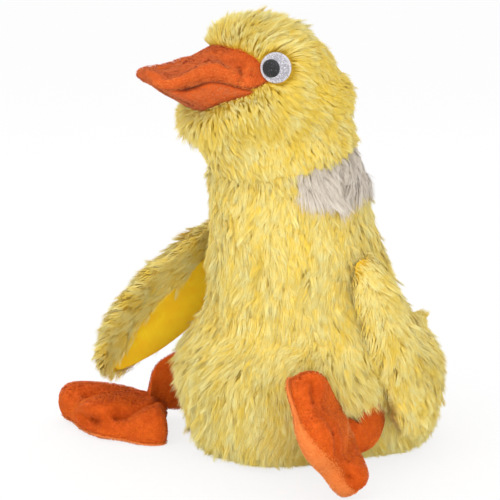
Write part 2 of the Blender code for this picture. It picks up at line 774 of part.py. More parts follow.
# Along each leg: how far down it, how far that point lies off the straight line, and the
# direction of the leg's thickness
LEFT_LEG_SPINE = (
    (0.0, (0.0, 0.0, 0.0), (1.0, 0.0, 0.0)),
    (0.33, (4 * MM, 0.0, -7 * MM), (1.0, 0.1, 0.1)),
    (0.67, (3 * MM, 0.0, -8 * MM), (0.9, 0.3, 0.3)),
    (0.93, (0.0, 0.0, -2 * MM), LEFT_FOOT_UP),
)
RIGHT_LEG_SPINE = (
    (0.0, (0.0, 0.0, 0.0), (-1.0, 0.0, 0.0)),
    (0.33, (-5 * MM, 0.0, 6 * MM), (-1.0, 0.0, 0.2)),
    (0.67, (-2 * MM, 0.0, 6 * MM), (-0.7, 0.0, 0.7)),
    (0.95, (0.0, 0.0, 2 * MM), RIGHT_FOOT_UP),
)

limb("left", 1, LEFT_ANKLE, LEFT_TOES, LEFT_FOOT_UP, LEFT_LEG_SPINE)
limb("right", -1, RIGHT_ANKLE, RIGHT_TOES, RIGHT_FOOT_UP, RIGHT_LEG_SPINE)
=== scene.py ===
import math

import bmesh
import bpy
import numpy as np
from mathutils import Matrix, Vector
from mathutils.bvhtree import BVHTree
from mathutils.kdtree import KDTree


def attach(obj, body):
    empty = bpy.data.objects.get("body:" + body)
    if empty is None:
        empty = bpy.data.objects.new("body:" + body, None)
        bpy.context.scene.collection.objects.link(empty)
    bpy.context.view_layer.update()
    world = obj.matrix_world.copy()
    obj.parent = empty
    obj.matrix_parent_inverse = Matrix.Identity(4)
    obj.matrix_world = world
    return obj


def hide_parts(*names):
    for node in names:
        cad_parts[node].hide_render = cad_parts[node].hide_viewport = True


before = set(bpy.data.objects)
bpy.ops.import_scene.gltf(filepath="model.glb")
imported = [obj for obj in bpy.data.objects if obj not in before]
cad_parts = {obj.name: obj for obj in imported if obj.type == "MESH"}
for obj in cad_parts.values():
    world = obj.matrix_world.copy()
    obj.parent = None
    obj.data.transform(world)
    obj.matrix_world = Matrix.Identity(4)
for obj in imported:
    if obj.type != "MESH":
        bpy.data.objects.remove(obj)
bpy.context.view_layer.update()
MM = 0.001
rng = np.random.default_rng(2024)


# Body cloth
# The bell of the body is one cloth bag, stuffed with fibre and closed under the seat. The
# cloth is the knitted backing of the pile, which shows only between locks; its golden is
# painted shade of the pile's depth.

BODY_CLOTH_OUT = 3.6 * MM  # from the stuffing's skin to the roots of the pile
CLOTH_MESH = 3.4 * MM
RING_SEAM_END = Vector((0.0, -59.256, 192.931)) * MM  # the white ring's seam, at its open ends
RING_SEAM_BACK = Vector((0.0, 34.085, 169.834)) * MM
WHITE_UP = Vector((1.0, 0.0, 0.0)).cross(RING_SEAM_BACK - RING_SEAM_END).normalized()
# The backing's colours, deeper than the pile's tips, are painted shade of the depth between locks.
BACKING_GOLD = (0.86, 0.56, 0.05, 1.0)
BACKING_DARK = (0.74, 0.42, 0.03, 1.0)
BACKING_WHITE = (0.72, 0.66, 0.60, 1.0)


class Wire:
    """A socket of a finish, so that sums on its values read as plain sums."""

    def __init__(self, finish, socket):
        self.finish = finish
        self.socket = socket

    def maths(self, operation, *values):
        return self.finish.node("ShaderNodeMath", {"operation": operation}, dict(enumerate(values)))

    def __add__(self, other):
        return self.maths("ADD", self, other)

    def __mul__(self, other):
        return self.maths("MULTIPLY", self, other)


class Finish:
    """The finish of a cloth or a thread, put together from shader nodes."""

    def __init__(self, name, **plain):
        self.material = bpy.data.materials.new(name)
        self.material.use_nodes = True
        self.tree = self.material.node_tree
        self.shader = self.tree.nodes["Principled BSDF"]
        for socket, value in plain.items():
            self.shader.inputs[socket.replace("_", " ")].default_value = value

    def node(self, kind, settings, sockets, out=0):
        """Any node: its settings first, then its sockets' values or wires."""
        made = self.tree.nodes.new(kind)
        for setting, value in settings.items():
            setattr(made, setting, value)
        for socket, value in sockets.items():
            self.feed(made.inputs[socket], value)
        return Wire(self, made.outputs[out])

    def feed(self, socket, value):
        if isinstance(value, Wire):
            self.tree.links.new(value.socket, socket)
        else:
            socket.default_value = value

    def mix(self, share, first, second):
        """One colour passing into another."""
        return self.node("ShaderNodeMix", {"data_type": "RGBA"}, {0: share, 6: first, 7: second}, out=2)

    def place(self):
        """Where a point lies, in metres."""
        return self.node("ShaderNodeTexCoord", {}, {}, out="Object")

    def noise(self, size, detail=2.0, roughness=0.5):
        """Soft random patches of a size in metres."""
        settings = {"noise_dimensions": "3D"}
        sockets = {"Vector": self.place(), "Scale": 1.0 / size, "Detail": detail, "Roughness": roughness}
        return self.node("ShaderNodeTexNoise", settings, sockets)

    def between(self, value, low, high):
        """Nought below one value, one above another, and smooth between them."""
        settings = {"interpolation_type": "SMOOTHSTEP"}
        return self.node("ShaderNodeMapRange", settings, {0: value, 1: low, 2: high})

    def bands(self, direction, scale, **sockets):
        """Rows of thread or ribs of knitting."""
        named = {socket.replace("_", " "): value for socket, value in sockets.items()}
        named |= {"Vector": self.place(), "Scale": scale}
        return self.node("ShaderNodeTexWave", {"bands_direction": direction}, named, out="Fac")

    def colour(self, value):
        self.feed(self.shader.inputs["Base Color"], value)

    def roughness(self, value):
        self.feed(self.shader.inputs["Roughness"], value)

    def relief(self, height, depth):
        """Small hills and dents, whose height runs from nought to one."""
        bump = self.node("ShaderNodeBump", {}, {"Height": height, "Distance": depth, "Strength": 1.0})
        self.feed(self.shader.inputs["Normal"], bump)


def backing(name, white_above_seam):
    """Knitted backing, in painted shade of the pile's depth: golden under the lemon pile, pale under the
    white ring.
    """
    finish = Finish(name, Roughness=1.0, Specular_IOR_Level=0.1)
    patches = finish.between(finish.noise(9 * MM), 0.35, 0.65)
    gold = finish.mix(patches, BACKING_DARK, BACKING_GOLD)
    finish.relief(finish.noise(0.8 * MM), 0.4 * MM)
    if not white_above_seam:
        finish.colour(gold)
        return finish.material
    sockets = {0: finish.place(), 1: tuple(WHITE_UP)}
    above = finish.node("ShaderNodeVectorMath", {"operation": "DOT_PRODUCT"}, sockets, out="Value")
    seam = RING_SEAM_END.dot(WHITE_UP)
    white = finish.between(above + finish.noise(4 * MM) * 0.004, seam, seam + 0.004)
    finish.colour(finish.mix(white, gold, BACKING_WHITE))
    return finish.material


def settle(made):
    """Turn the modifiers' result into the piece's own mesh."""
    bpy.context.view_layer.update()
    shaped = bpy.data.meshes.new_from_object(made.evaluated_get(bpy.context.evaluated_depsgraph_get()))
    made.modifiers.clear()
    made.data = shaped
    shaped.shade_smooth()


def dress(mesh, finish):
    mesh.materials.clear()
    mesh.materials.append(finish)


def mesh_of(shape, name):
    """The mesh of a shape that is ready."""
    mesh = bpy.data.meshes.new(name)
    shape.to_mesh(mesh)
    shape.free()
    return mesh


def placed(name, mesh, finish, body):
    """A piece in the scene that rides on a body and has its finish."""
    made = bpy.data.objects.new(name, mesh)
    bpy.context.scene.collection.objects.link(made)
    dress(mesh, finish)
    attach(made, body)
    return made


def drawn_cloth(name, nodes, mesh_size, out, finish, body, ease=4):
    """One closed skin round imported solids, eased, and moved out or drawn in by a distance."""
    shape = bmesh.new()
    for node in nodes:
        shape.from_mesh(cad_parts[node].data)
    made = placed(name, mesh_of(shape, name), finish, body)
    joined = made.modifiers.new("joined", "REMESH")
    joined.mode = "VOXEL"
    joined.voxel_size = mesh_size
    eased = made.modifiers.new("eased", "SMOOTH")
    eased.iterations = ease
    moved = made.modifiers.new("moved", "DISPLACE")
    moved.strength = out
    moved.mid_level = 0.0
    eased = made.modifiers.new("eased again", "SMOOTH")
    eased.iterations = 2
    settle(made)
    dress(made.data, finish)
    return made


body_backing = backing("body_backing", True)
lemon_backing = backing("lemon_backing", False)
body_cloth = drawn_cloth(
    "body_cloth", ["body_filling"], CLOTH_MESH, BODY_CLOTH_OUT, body_backing, "body"
)
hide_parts("body_cover", "body_filling")


# Body pile
# Long soft lemon-yellow pile runs down the whole bell in fine locks. Each lock's hairs lean
# together to a pale tip, and the depth between locks is golden, painted as shade in the
# colour of the roots.

BODY_HAIRS = 2.8  # on each square millimetre
BODY_PILE_LENGTH = 17 * MM
BODY_PILE_LEAN = 0.8
HIP_LOCKS = np.array([60.0, -38.0, 66.0]) * MM  # longer locks hang here, over the left leg's root
HIP_LOCKS_LONGER = 8 * MM
STRAP_WAY_OUT = np.array([80.0, -14.0, 58.0]) * MM  # the pile parts here, where the leg comes out
LOCK_HAIRS = 18  # in a lock
PROUD_LOCKS = 0.10  # the share of locks that stand proud of the rest and come to a point
HAIR_WIDTH = 0.46 * MM
FLAT_ABOVE = 60 * MM  # the pile of the back, breast and neck lies flatter than the belly's
NECK_ABOVE = 135 * MM
SHORT_BELOW = 22 * MM  # and it is shorter round the seat's edge
ACROSS_WINGS = np.array([0.7, 0.7, 0.0])  # the line through both places where a wing lies on the pile
RUBBED_HEIGHT = 92 * MM  # there the wings have rubbed the pile flat, and the left leg holds it down
HELD_HEIGHT = 46 * MM
BODY_PIECES = 7  # the body's pile is made in as many pieces, with the same count of hairs in each
FLOOR_CLEARANCE = 0.9 * MM
SKIN_SHARE_OF_LIGHT = 0.75  # a hair is lit more as the cloth under it faces than as it faces itself
LEMON_TIP = (0.95, 0.89, 0.41, 1.0)
LEMON_TIP_DEEP = (0.91, 0.69, 0.11, 1.0)
# The roots' deeper golden is painted shade of the depth of the pile.
LEMON_ROOT = (0.93, 0.61, 0.05, 1.0)


def pile_finish(name, root, tip, deep_tip, sheen, bloom=0.25):
    """Pile whose hairs pass from the colour of their roots to that of their tips."""
    finish = Finish(name, Roughness=0.85, Specular_IOR_Level=0.15, Sheen_Weight=bloom, Sheen_Tint=sheen)
    places = finish.node("ShaderNodeUVMap", {"uv_map": "OFBake"}, {})
    lock = finish.node("ShaderNodeSeparateXYZ", {}, {0: places})
    up_the_hair = Wire(finish, lock.socket.node.outputs[1])
    tips = finish.mix(finish.between(lock, 0.1, 0.9), tip, deep_tip)
    # The roots' deeper colour is painted shade of the pile's depth.
    finish.colour(finish.mix(finish.between(up_the_hair, 0.1, 0.95), root, tips))
    return finish.material


def unit(rows):
    """Rows made one long."""
    return rows / np.maximum(np.linalg.norm(rows, axis=1, keepdims=True), 1e-9)


def mesh_rows(mesh):
    """A mesh's points and the directions that they face."""
    points = np.empty(len(mesh.vertices) * 3)
    facing = np.empty(len(mesh.vertices) * 3)
    mesh.vertices.foreach_get("co", points)
    mesh.vertex_normals.foreach_get("vector", facing)
    return points.reshape(-1, 3), facing.reshape(-1, 3)


def plant(mesh, per_mm2):
    """Roots scattered evenly over a cloth, and the directions that the cloth faces there."""
    points, facing = mesh_rows(mesh)
    mesh.calc_loop_triangles()
    corners = np.empty(len(mesh.loop_triangles) * 3, dtype=np.int32)
    mesh.loop_triangles.foreach_get("vertices", corners)
    corners = corners.reshape(-1, 3)
    a, b, c = (points[corners[:, i]] for i in range(3))
    area = np.linalg.norm(np.cross(b - a, c - a), axis=1) / 2
    count = int(area.sum() / MM**2 * per_mm2)
    chosen = rng.choice(len(area), count, p=area / area.sum())
    side = np.sqrt(rng.random((count, 1)))
    along = rng.random((count, 1))
    shares = (1 - side, side * (1 - along), side * along)
    roots = sum(points[corners[chosen, i]] * share for i, share in enumerate(shares))
    normals = sum(facing[corners[chosen, i]] * share for i, share in enumerate(shares))
    return roots, unit(normals)


def lie(normals, direction):
    """A direction laid flat on the cloth."""
    return unit(direction - normals * (direction * normals).sum(axis=1, keepdims=True))


def turned(normals, direction, angle):
    """A direction on the cloth turned by an angle."""
    return direction * np.cos(angle)[:, None] + np.cross(normals, direction) * np.sin(angle)[:, None]


def ramp(values, start, run):
    """Nought up to a start, and one from a run further on. A run below nought goes down."""
    return np.clip((values - start) / run, 0, 1)


def hill(away, width):
    """One in the middle and nought beyond a width or two."""
    return np.exp(-((away / width) ** 2))


def drift(points, size):
    """A slow random swing over the cloth, between about -1 and 1."""
    swing = np.zeros(len(points))
    for _ in range(4):
        run = rng.normal(size=3)
        along = points @ (run / np.linalg.norm(run)) * 2 * math.pi / size
        swing += np.sin(along + rng.random() * 2 * math.pi)
    return swing / 2.6


def combed(roots, normals, way, swing, size):
    """The way the pile lies, which swings to and fro over the cloth."""
    return turned(normals, lie(normals, way), swing * drift(roots, size))


def hair_rows(roots, normals, comb, length, lean, locks, gather, spread, proud_share):
    """Root, middle and tip of each hair. The hairs of a lock lean to the lock's own tip."""
    count = len(roots)
    leaders = rng.choice(count, max(count // locks, 1), replace=False)
    tree = KDTree(len(leaders))
    for i, leader in enumerate(leaders):
        tree.insert(roots[leader], i)
    tree.balance()
    lock = np.array([tree.find(root)[1] for root in roots])
    turn = rng.normal(0, spread, len(leaders))[lock] + rng.normal(0, 0.14, count)
    proud = (rng.random(len(leaders)) < proud_share)[lock]
    tilt = lean + rng.normal(0, 0.08, len(leaders))[lock] + rng.normal(0, 0.09, count) - 0.12 * proud
    reach = length * rng.uniform(0.88, 1.06, len(leaders))[lock] * rng.uniform(0.8, 1.06, count)
    reach = reach * (1 + 0.18 * proud)
    along = turned(normals, comb, turn)
    reach = reach[:, None]
    rise = tilt[:, None]
    middle = roots + reach * 0.5 * (normals * np.cos(rise * 0.62) + along * np.sin(rise * 0.62))
    tip = roots + reach * (normals * np.cos(rise) + along * np.sin(rise))
    leader = leaders[lock]
    gather = (gather + (0.6 - gather) * proud)[:, None]
    tip += (tip[leader] - tip) * gather
    middle += (middle[leader] - middle) * gather * 0.4
    tint = np.clip(rng.random(len(leaders))[lock] * 0.5 + rng.random(count) * 0.5, 0.01, 0.99)
    return middle, tip, tint


def hair_mesh(name, roots, normals, middle, tip, tint, width):
    """Each hair is a slim ridged spindle, widest at its middle and pointed at both ends."""
    run = unit(tip - roots)
    side = unit(np.cross(run, normals) + rng.normal(0, 0.05, roots.shape))
    roll = rng.normal(0, 0.35, len(roots))
    ridge = np.cross(side, run)
    side = side * np.cos(roll)[:, None] + ridge * np.sin(roll)[:, None]
    ridge = unit(np.cross(side, run))
    half = width / 2
    girdle = (middle - side * half, middle + ridge * half, middle + side * half)
    points = np.stack([roots, *girdle, tip], axis=1)
    shape = np.array([(0, 2, 1), (0, 3, 2), (1, 2, 4), (2, 3, 4)])
    faces = (np.arange(len(roots))[:, None, None] * 5 + shape).reshape(-1, 3)
    mesh = bpy.data.meshes.new(name)
    mesh.vertices.add(points.size // 3)
    mesh.vertices.foreach_set("co", points.ravel())
    mesh.loops.add(faces.size)
    mesh.loops.foreach_set("vertex_index", faces.ravel().astype(np.int32))
    mesh.polygons.add(len(faces))
    mesh.polygons.foreach_set("loop_start", np.arange(0, faces.size, 3, dtype=np.int32))
    mesh.update(calc_edges=True)
    mesh.shade_smooth()
    across = np.array([0.0, -0.004, 0.0, 0.004, 0.0])
    up = np.array([0.01, 0.5, 0.5, 0.5, 0.99])
    spots = np.stack([tint[:, None] + across[None, :], np.broadcast_to(up, (len(roots), 5))], axis=2)
    mesh.uv_layers.new(name="OFBake").data.foreach_set("uv", spots.reshape(-1, 2)[faces.ravel()].ravel())
    lit = np.repeat(unit(normals * SKIN_SHARE_OF_LIGHT + ridge * (1 - SKIN_SHARE_OF_LIGHT)), 5, axis=0)
    mesh.normals_split_custom_set_from_vertices(lit.tolist())
    return mesh


def pile(name, roots, normals, comb, length, lean, finish, body, width=HAIR_WIDTH, locks=LOCK_HAIRS,
         gather=0.22, spread=0.24, share_out=None, shade=0.0, proud_share=PROUD_LOCKS):
    """Plant a pile. share_out numbers the pieces that its hairs are shared out among, and
    shade makes the tips deeper, or below nought paler."""
    middle, tip, tint = hair_rows(roots, normals, comb, length, lean, locks, gather, spread, proud_share)
    tint = np.clip(tint * 0.85 + 0.05 + shade, 0.01, 0.99)
    for rows in (middle, tip):
        rows[:, 2] = np.maximum(rows[:, 2], FLOOR_CLEARANCE)
    made = []
    numbers = np.zeros(len(roots), dtype=int) if share_out is None else share_out
    for number in range(numbers.max() + 1):
        some = numbers == number
        part = name if share_out is None else f"{name}_{number + 1}"
        mesh = hair_mesh(part, roots[some], normals[some], middle[some], tip[some], tint[some], width)
        made.append(placed(part, mesh, finish, body))
    return made


lemon_pile = pile_finish("lemon_pile", LEMON_ROOT, LEMON_TIP, LEMON_TIP_DEEP, (1.0, 0.93, 0.6, 1.0))
DOWN = np.array([[0.0, 0.0, -1.0]])
NECK_AXIS = -12 * MM
SEAT_RADIUS = 66 * MM  # no pile grows under the seat
OPEN_THROAT = math.radians(43)  # on each side of the front the ring is left open
RING_ASKEW = math.radians(22)  # and further on the right, where the ring stops short
# Round from the front in degrees, and how far the ring's seam is lifted above a straight line
RING_SEAM_LIFT = ((40, -3), (58, -10), (70, -10), (84, -3), (110, 5), (140, 6))
all_roots, all_normals = plant(body_cloth.data, BODY_HAIRS)
from_front = np.abs(np.arctan2(all_roots[:, 0], NECK_AXIS - all_roots[:, 1]))
seam_round, seam_lift = np.array(RING_SEAM_LIFT).T
lift = np.interp(np.degrees(from_front), seam_round, seam_lift) * MM
in_white = (all_roots - np.array(RING_SEAM_END)) @ np.array(WHITE_UP) > lift
in_white &= from_front > OPEN_THROAT + RING_ASKEW * (all_roots[:, 0] < 0)
under_seat = (all_normals[:, 2] < -0.75) & (np.hypot(all_roots[:, 0], all_roots[:, 1]) < SEAT_RADIUS)
roots, normals = (rows[~in_white & ~under_seat] for rows in (all_roots, all_normals))
outwards = np.column_stack([roots[:, 0], roots[:, 1], np.zeros(len(roots))])
way = DOWN + unit(outwards) * np.clip(-normals[:, 2:], 0, 1) + rng.normal(0, 0.05, roots.shape)
comb = combed(roots, normals, way, 0.35, 45 * MM)
lean = BODY_PILE_LEAN + 0.16 * drift(roots, 30 * MM)
flat = ramp(roots[:, 2], FLAT_ABOVE, 25 * MM)
neck = ramp(roots[:, 2], NECK_ABOVE, 25 * MM)
under_wing = unit(outwards) @ ACROSS_WINGS
rubbed = hill(roots[:, 2] - RUBBED_HEIGHT, 24 * MM) * np.abs(under_wing)
held = hill(roots[:, 2] - HELD_HEIGHT, 18 * MM) * np.clip(under_wing, 0, 1)
lean = lean + 0.22 * flat + 0.2 * neck + 0.22 * rubbed + 0.3 * held
place_round = np.argsort(np.argsort(np.arctan2(roots[:, 1], roots[:, 0])))
sector = place_round * BODY_PIECES // len(roots)
off_hip = np.linalg.norm(roots - HIP_LOCKS, axis=1)
length = BODY_PILE_LENGTH + HIP_LOCKS_LONGER * hill(off_hip, 20 * MM)
length = length * (0.55 + 0.45 * np.clip(roots[:, 2] / SHORT_BELOW, 0, 1))
length = length * (1 - 0.1 * flat - 0.16 * neck - 0.15 * rubbed - 0.2 * held)
off_strap = np.linalg.norm(roots - STRAP_WAY_OUT, axis=1)
length = length - 6 * MM * hill(off_strap, 15 * MM)
pile("body_pile", roots, normals, comb, length, lean, lemon_pile, "body", share_out=sector,
     shade=0.2 * drift(roots, 16 * MM))


# White ring
# A ring of longer white pile is let in round the back of the neck. It is open at the throat,
# and its tufts hang down over the seam that joins it to the lemon pile.

WHITE_PILE_LENGTH = 20 * MM
UNDER_HEAD_ABOVE = 186 * MM  # the head presses the ring's pile flat
WHITE_TIP = (0.92, 0.85, 0.75, 1.0)
WHITE_TIP_DEEP = (0.74, 0.65, 0.54, 1.0)
# The roots' deeper colour is painted shade of the ring's depth.
WHITE_ROOT = (0.62, 0.52, 0.41, 1.0)
white_pile = pile_finish("white_pile", WHITE_ROOT, WHITE_TIP, WHITE_TIP_DEEP, (1.0, 0.97, 0.95, 1.0))
roots, normals = (rows[in_white & (all_normals[:, 2] < 0.8)] for rows in (all_roots, all_normals))
comb = combed(roots, normals, DOWN, 0.45, 30 * MM)
under_head = ramp(roots[:, 2], UNDER_HEAD_ABOVE, 12 * MM)
white = pile("white_ring", roots, normals, comb, WHITE_PILE_LENGTH * (1 - 0.35 * under_head),
             1.18 + 0.24 * under_head, white_pile, "body")
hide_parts("neck_ring")


# Tail
# A stub of the same lemon pile, stuffed, stands out behind above the seat.

TAIL_PILE_LENGTH = 9 * MM
tail_cloth = drawn_cloth("tail_cloth", ["tail"], 2 * MM, -5.5 * MM, lemon_backing, "body")
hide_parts("tail")
roots, normals = plant(tail_cloth.data, BODY_HAIRS)
comb = lie(normals, np.array([[0.0, 0.75, 0.3]]) + DOWN * 0.2 + rng.normal(0, 0.1, roots.shape))
pile("tail_pile", roots, normals, comb, TAIL_PILE_LENGTH, 1.1, lemon_pile, "body")


# Seat panel
# The bag of the body is closed by a flat panel of short orange pile, sewn in round its edge.

ORANGE_LIT = (0.86, 0.150, 0.012, 1.0)
ORANGE_DEEP = (0.62, 0.080, 0.004, 1.0)
ORANGE_SHEEN = (1.0, 0.62, 0.36, 1.0)


def velour_finish(name, lit, deep):
    """Short dense pile, brushed in patches, with a soft sheen."""
    finish = Finish(name, Roughness=0.75, Specular_IOR_Level=0.2, Sheen_Weight=0.35, Sheen_Roughness=0.4,
                    Sheen_Tint=ORANGE_SHEEN)
    brushed = finish.between(finish.noise(7 * MM, 3.0), 0.3, 0.7)
    tufts = finish.noise(0.7 * MM, 1.0)
    finish.colour(finish.mix(brushed * 0.6 + finish.between(tufts, 0.3, 0.7) * 0.4, deep, lit))
    finish.relief(tufts + finish.noise(2.5 * MM) * 1.5, 0.35 * MM)
    return finish.material


orange_velour = velour_finish("orange_velour", ORANGE_LIT, ORANGE_DEEP)
seat_panel = drawn_cloth(
    "seat_panel", ["base_panel"], 1.2 * MM, 0.0, orange_velour, "body", ease=2
)
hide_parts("base_panel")


# Head cloth
# The head is a stuffed bag of its own on the neck, of the same knitted backing. The bill and
# the eyes are sewn to it first, and the pile stands round them.

HEAD_CLOTH_OUT = 4.6 * MM
HEAD_TURN = math.radians(-20)
HEAD_LIFT = math.radians(12)

head_frame = (
    Matrix.Translation((0.0, -26 * MM, 200 * MM))
    @ Matrix.Rotation(HEAD_LIFT, 4, "X")
    @ Matrix.Rotation(HEAD_TURN, 4, "Z")
)


def seen_from(matrix, points):
    """Points in another frame's own measures."""
    turn = np.array(matrix.inverted())
    return points @ turn[:3, :3].T + turn[:3, 3]


def laid_in(matrix, directions):
    """Directions of a frame in the duck's own measures."""
    return directions @ np.array(matrix)[:3, :3].T


head_cloth = drawn_cloth(
    "head_cloth", ["head_filling"], CLOTH_MESH, HEAD_CLOTH_OUT, lemon_backing, "head"
)
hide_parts("head_cover", "head_filling")


# Bill
# Two stuffed halves of short orange pile, sewn to the face through the long pile and to
# each other at the corners of the mouth. The upper half's edge rolls out like a lip, and its
# stuffing has slumped, so its left side stands higher than its right.

BILL_REACH = 88 * MM  # from the neck's axis to the tip
BILL_HALF_WIDTH = 39 * MM
MOUTH_HEIGHT = 56 * MM  # of the corners of the mouth
BILL_RISE = 26 * MM
SHORT_HAIR = 1.5 * MM
SHORT_HAIRS = 2.6
SHORT_WIDTH = 0.42 * MM
BILL_LIT = (0.86, 0.170, 0.022, 1.0)
BILL_DEEP = (0.64, 0.085, 0.008, 1.0)
BILL_TIP = (0.92, 0.235, 0.050, 1.0)
BILL_TIP_DEEP = (0.76, 0.140, 0.018, 1.0)
CHIN_TIP = (0.80, 0.260, 0.090, 1.0)
CHIN_TIP_DEEP = (0.66, 0.160, 0.045, 1.0)

# Out towards the tip, half the width, then the heights of the left crest, lip, wall and
# shoulder, the middle, the right shoulder, wall and crest, and the roof of the mouth
UPPER_BILL_SHARES = (
    (0.14, 0.86, 0.36, 0.12, 0.76, 1.00, 1.04, 0.98, 0.66, 0.10, 0.12),
    (0.22, 0.90, 0.36, 0.10, 0.76, 1.00, 1.04, 0.96, 0.66, 0.10, 0.12),
    (0.29, 0.93, 0.38, 0.04, 0.74, 0.98, 1.02, 0.92, 0.64, 0.16, 0.12),
    (0.38, 0.92, 0.46, 0.06, 0.74, 0.92, 0.99, 0.84, 0.60, 0.36, 0.20),
    (0.48, 0.84, 0.76, 0.27, 0.74, 0.84, 0.94, 0.76, 0.60, 0.56, 0.28),
    (0.56, 0.78, 0.92, 0.49, 0.82, 0.84, 0.90, 0.70, 0.56, 0.59, 0.34),
    (0.65, 0.71, 0.89, 0.55, 0.80, 0.80, 0.82, 0.62, 0.54, 0.58, 0.38),
    (0.75, 0.68, 0.79, 0.46, 0.70, 0.71, 0.70, 0.58, 0.54, 0.60, 0.36),
    (0.85, 0.64, 0.70, 0.42, 0.62, 0.66, 0.67, 0.61, 0.60, 0.68, 0.36),
    (0.92, 0.52, 0.66, 0.44, 0.66, 0.84, 0.82, 0.75, 0.66, 0.70, 0.42),
    (0.97, 0.33, 0.72, 0.54, 0.76, 0.84, 0.84, 0.78, 0.74, 0.73, 0.54),
)
# Out towards the tip, half the width, then the heights of the lip, the flank, the shoulder,
# the underside and the floor of the mouth
LOWER_BILL_SHARES = (
    (0.20, 0.90, 0.00, -0.12, -0.38, -0.42, 0.00),
    (0.36, 0.88, 0.04, -0.12, -0.38, -0.44, 0.05),
    (0.49, 0.79, 0.36, 0.00, -0.44, -0.50, 0.22),
    (0.58, 0.71, 0.48, 0.08, -0.44, -0.50, 0.30),
    (0.66, 0.66, 0.42, 0.06, -0.38, -0.42, 0.28),
    (0.75, 0.62, 0.32, 0.06, -0.06, -0.12, 0.24),
    (0.82, 0.52, 0.35, 0.20, 0.10, 0.06, 0.28),
    (0.88, 0.37, 0.42, 0.33, 0.28, 0.26, 0.38),
    (0.91, 0.20, 0.50, 0.46, 0.44, 0.43, 0.48),
)
# Folds in the pile, in millimetres of the head's frame, with their widths and depths
BILL_FOLDS = (
    (((26, -26, 78), (31, -32, 72), (34, -36, 64)), 2.2 * MM, 2.4 * MM),
    (((10, -42, 81), (22, -40, 78), (29, -42, 74)), 2.6 * MM, 1.5 * MM),
    (((-12, -56, 76), (2, -62, 78), (16, -64, 77)), 3.0 * MM, 1.8 * MM),
    (((-18, -44, 74), (-17, -56, 72), (-15, -68, 71)), 3.2 * MM, 1.8 * MM),
)

# The stuffing has sunk across the back of the head, in the same measures
BACK_HOLLOW = ((((44, 10, 53), (34, 32, 53), (12, 45, 52), (-14, 46, 50)), 12 * MM, 3.2 * MM),)


def upper_ring(
    left_crest, left_lip, left_wall, left_shoulder, middle, right_shoulder, right_wall, right_crest, roof
):
    """Round the upper bill, from the right lip over the dome to the left lip and back
    through the mouth: places across and heights."""
    over = ((-1.02, right_crest - 0.08), (-0.95, right_crest), (-0.76, right_wall), (-0.42, right_shoulder))
    over += ((0.0, middle), (0.42, left_shoulder), (0.76, left_wall), (0.95, left_crest))
    back = ((1.04, (left_crest + left_lip) / 2), (0.96, left_lip), (0.8, roof), (0.4, roof))
    back += ((0.0, roof), (-0.4, roof), (-0.8, roof), (-0.96, right_crest - 0.16))
    return over + back


def lower_ring(lip, flank, shoulder, underside, floor):
    """Round the lower bill, from the right lip through the mouth to the left and back below."""
    over = ((-0.95, lip), (-0.6, floor), (0.0, floor), (0.6, floor), (0.95, lip))
    return over + ((1.0, flank), (0.62, shoulder), (0.0, underside), (-0.62, shoulder), (-1.0, flank))


def bill_rings(rows, ring):
    """The rings of a half of the bill, one behind another towards its tip."""
    rings = []
    for out, half_share, *heights in rows:
        half = BILL_HALF_WIDTH * half_share
        points = ring(*heights)
        rings.append([(half * across, -BILL_REACH * out, MOUTH_HEIGHT + BILL_RISE * height)
                      for across, height in points])
    return rings


def join_rings(shape, rings):
    """Faces from each ring of points to the next."""
    for low_ring, high_ring in zip(rings, rings[1:]):
        for i in range(len(low_ring)):
            j = (i + 1) % len(low_ring)
            shape.faces.new((low_ring[i], low_ring[j], high_ring[j], high_ring[i]))


def soft_loft(name, rings, matrix, finish, body, levels=2):
    """A soft closed form through rings of points."""
    shape = bmesh.new()
    rows = [[shape.verts.new(matrix @ Vector(point)) for point in ring] for ring in rings]
    join_rings(shape, rows)
    for row in (rows[0], rows[-1]):
        for i in range(len(row) // 2 - 1):
            shape.faces.new((row[i], row[i + 1], row[-2 - i], row[-1 - i]))
    bmesh.ops.recalc_face_normals(shape, faces=shape.faces)
    made = placed(name, mesh_of(shape, name), finish, body)
    rounded = made.modifiers.new("rounded", "SUBSURF")
    rounded.levels = levels
    rounded.render_levels = levels
    settle(made)
    return made


def off_line(points, line):
    """How far points lie from a line of straight stretches."""
    away = np.full(len(points), np.inf)
    for start, end in zip(line, line[1:]):
        run = end - start
        share = np.clip((points - start) @ run / (run @ run), 0, 1)
        away = np.minimum(away, np.linalg.norm(points - start - share[:, None] * run, axis=1))
    return away


def press(made, matrix, folds):
    """Press folds into a stuffed piece. Each is a line in a frame, with its width and depth."""
    points, facing = mesh_rows(made.data)
    own = seen_from(matrix, points)
    for line, width, depth in folds:
        away = off_line(own, np.array(line) * MM)
        points = points - facing * depth * hill(away, width)[:, None]
    made.data.vertices.foreach_set("co", points.ravel())
    made.data.update()


def nap(name, cloth, way, finish, body, length=SHORT_HAIR, shade=0.0):
    """Short stubs of pile that blur the outline of a velour piece. length and shade are
    numbers, or are worked out from the stubs' roots."""
    roots, normals = plant(cloth.data, SHORT_HAIRS)
    comb = combed(roots, normals, way + rng.normal(0, 0.2, roots.shape), 0.4, 16 * MM)
    length, shade = (amount(roots) if callable(amount) else amount for amount in (length, shade))
    pile(name, roots, normals, comb, length, 0.7, finish, body, width=SHORT_WIDTH, locks=9, gather=0.2,
         shade=shade, proud_share=0.0)


bill_velour = velour_finish("bill_velour", BILL_LIT, BILL_DEEP)
bill_nap = pile_finish("bill_nap", BILL_DEEP, BILL_TIP, BILL_TIP_DEEP, ORANGE_SHEEN)
chin_nap = pile_finish("chin_nap", BILL_DEEP, CHIN_TIP, CHIN_TIP_DEEP, ORANGE_SHEEN)
HALF_WIDTHS = np.array(UPPER_BILL_SHARES)[:, :2]


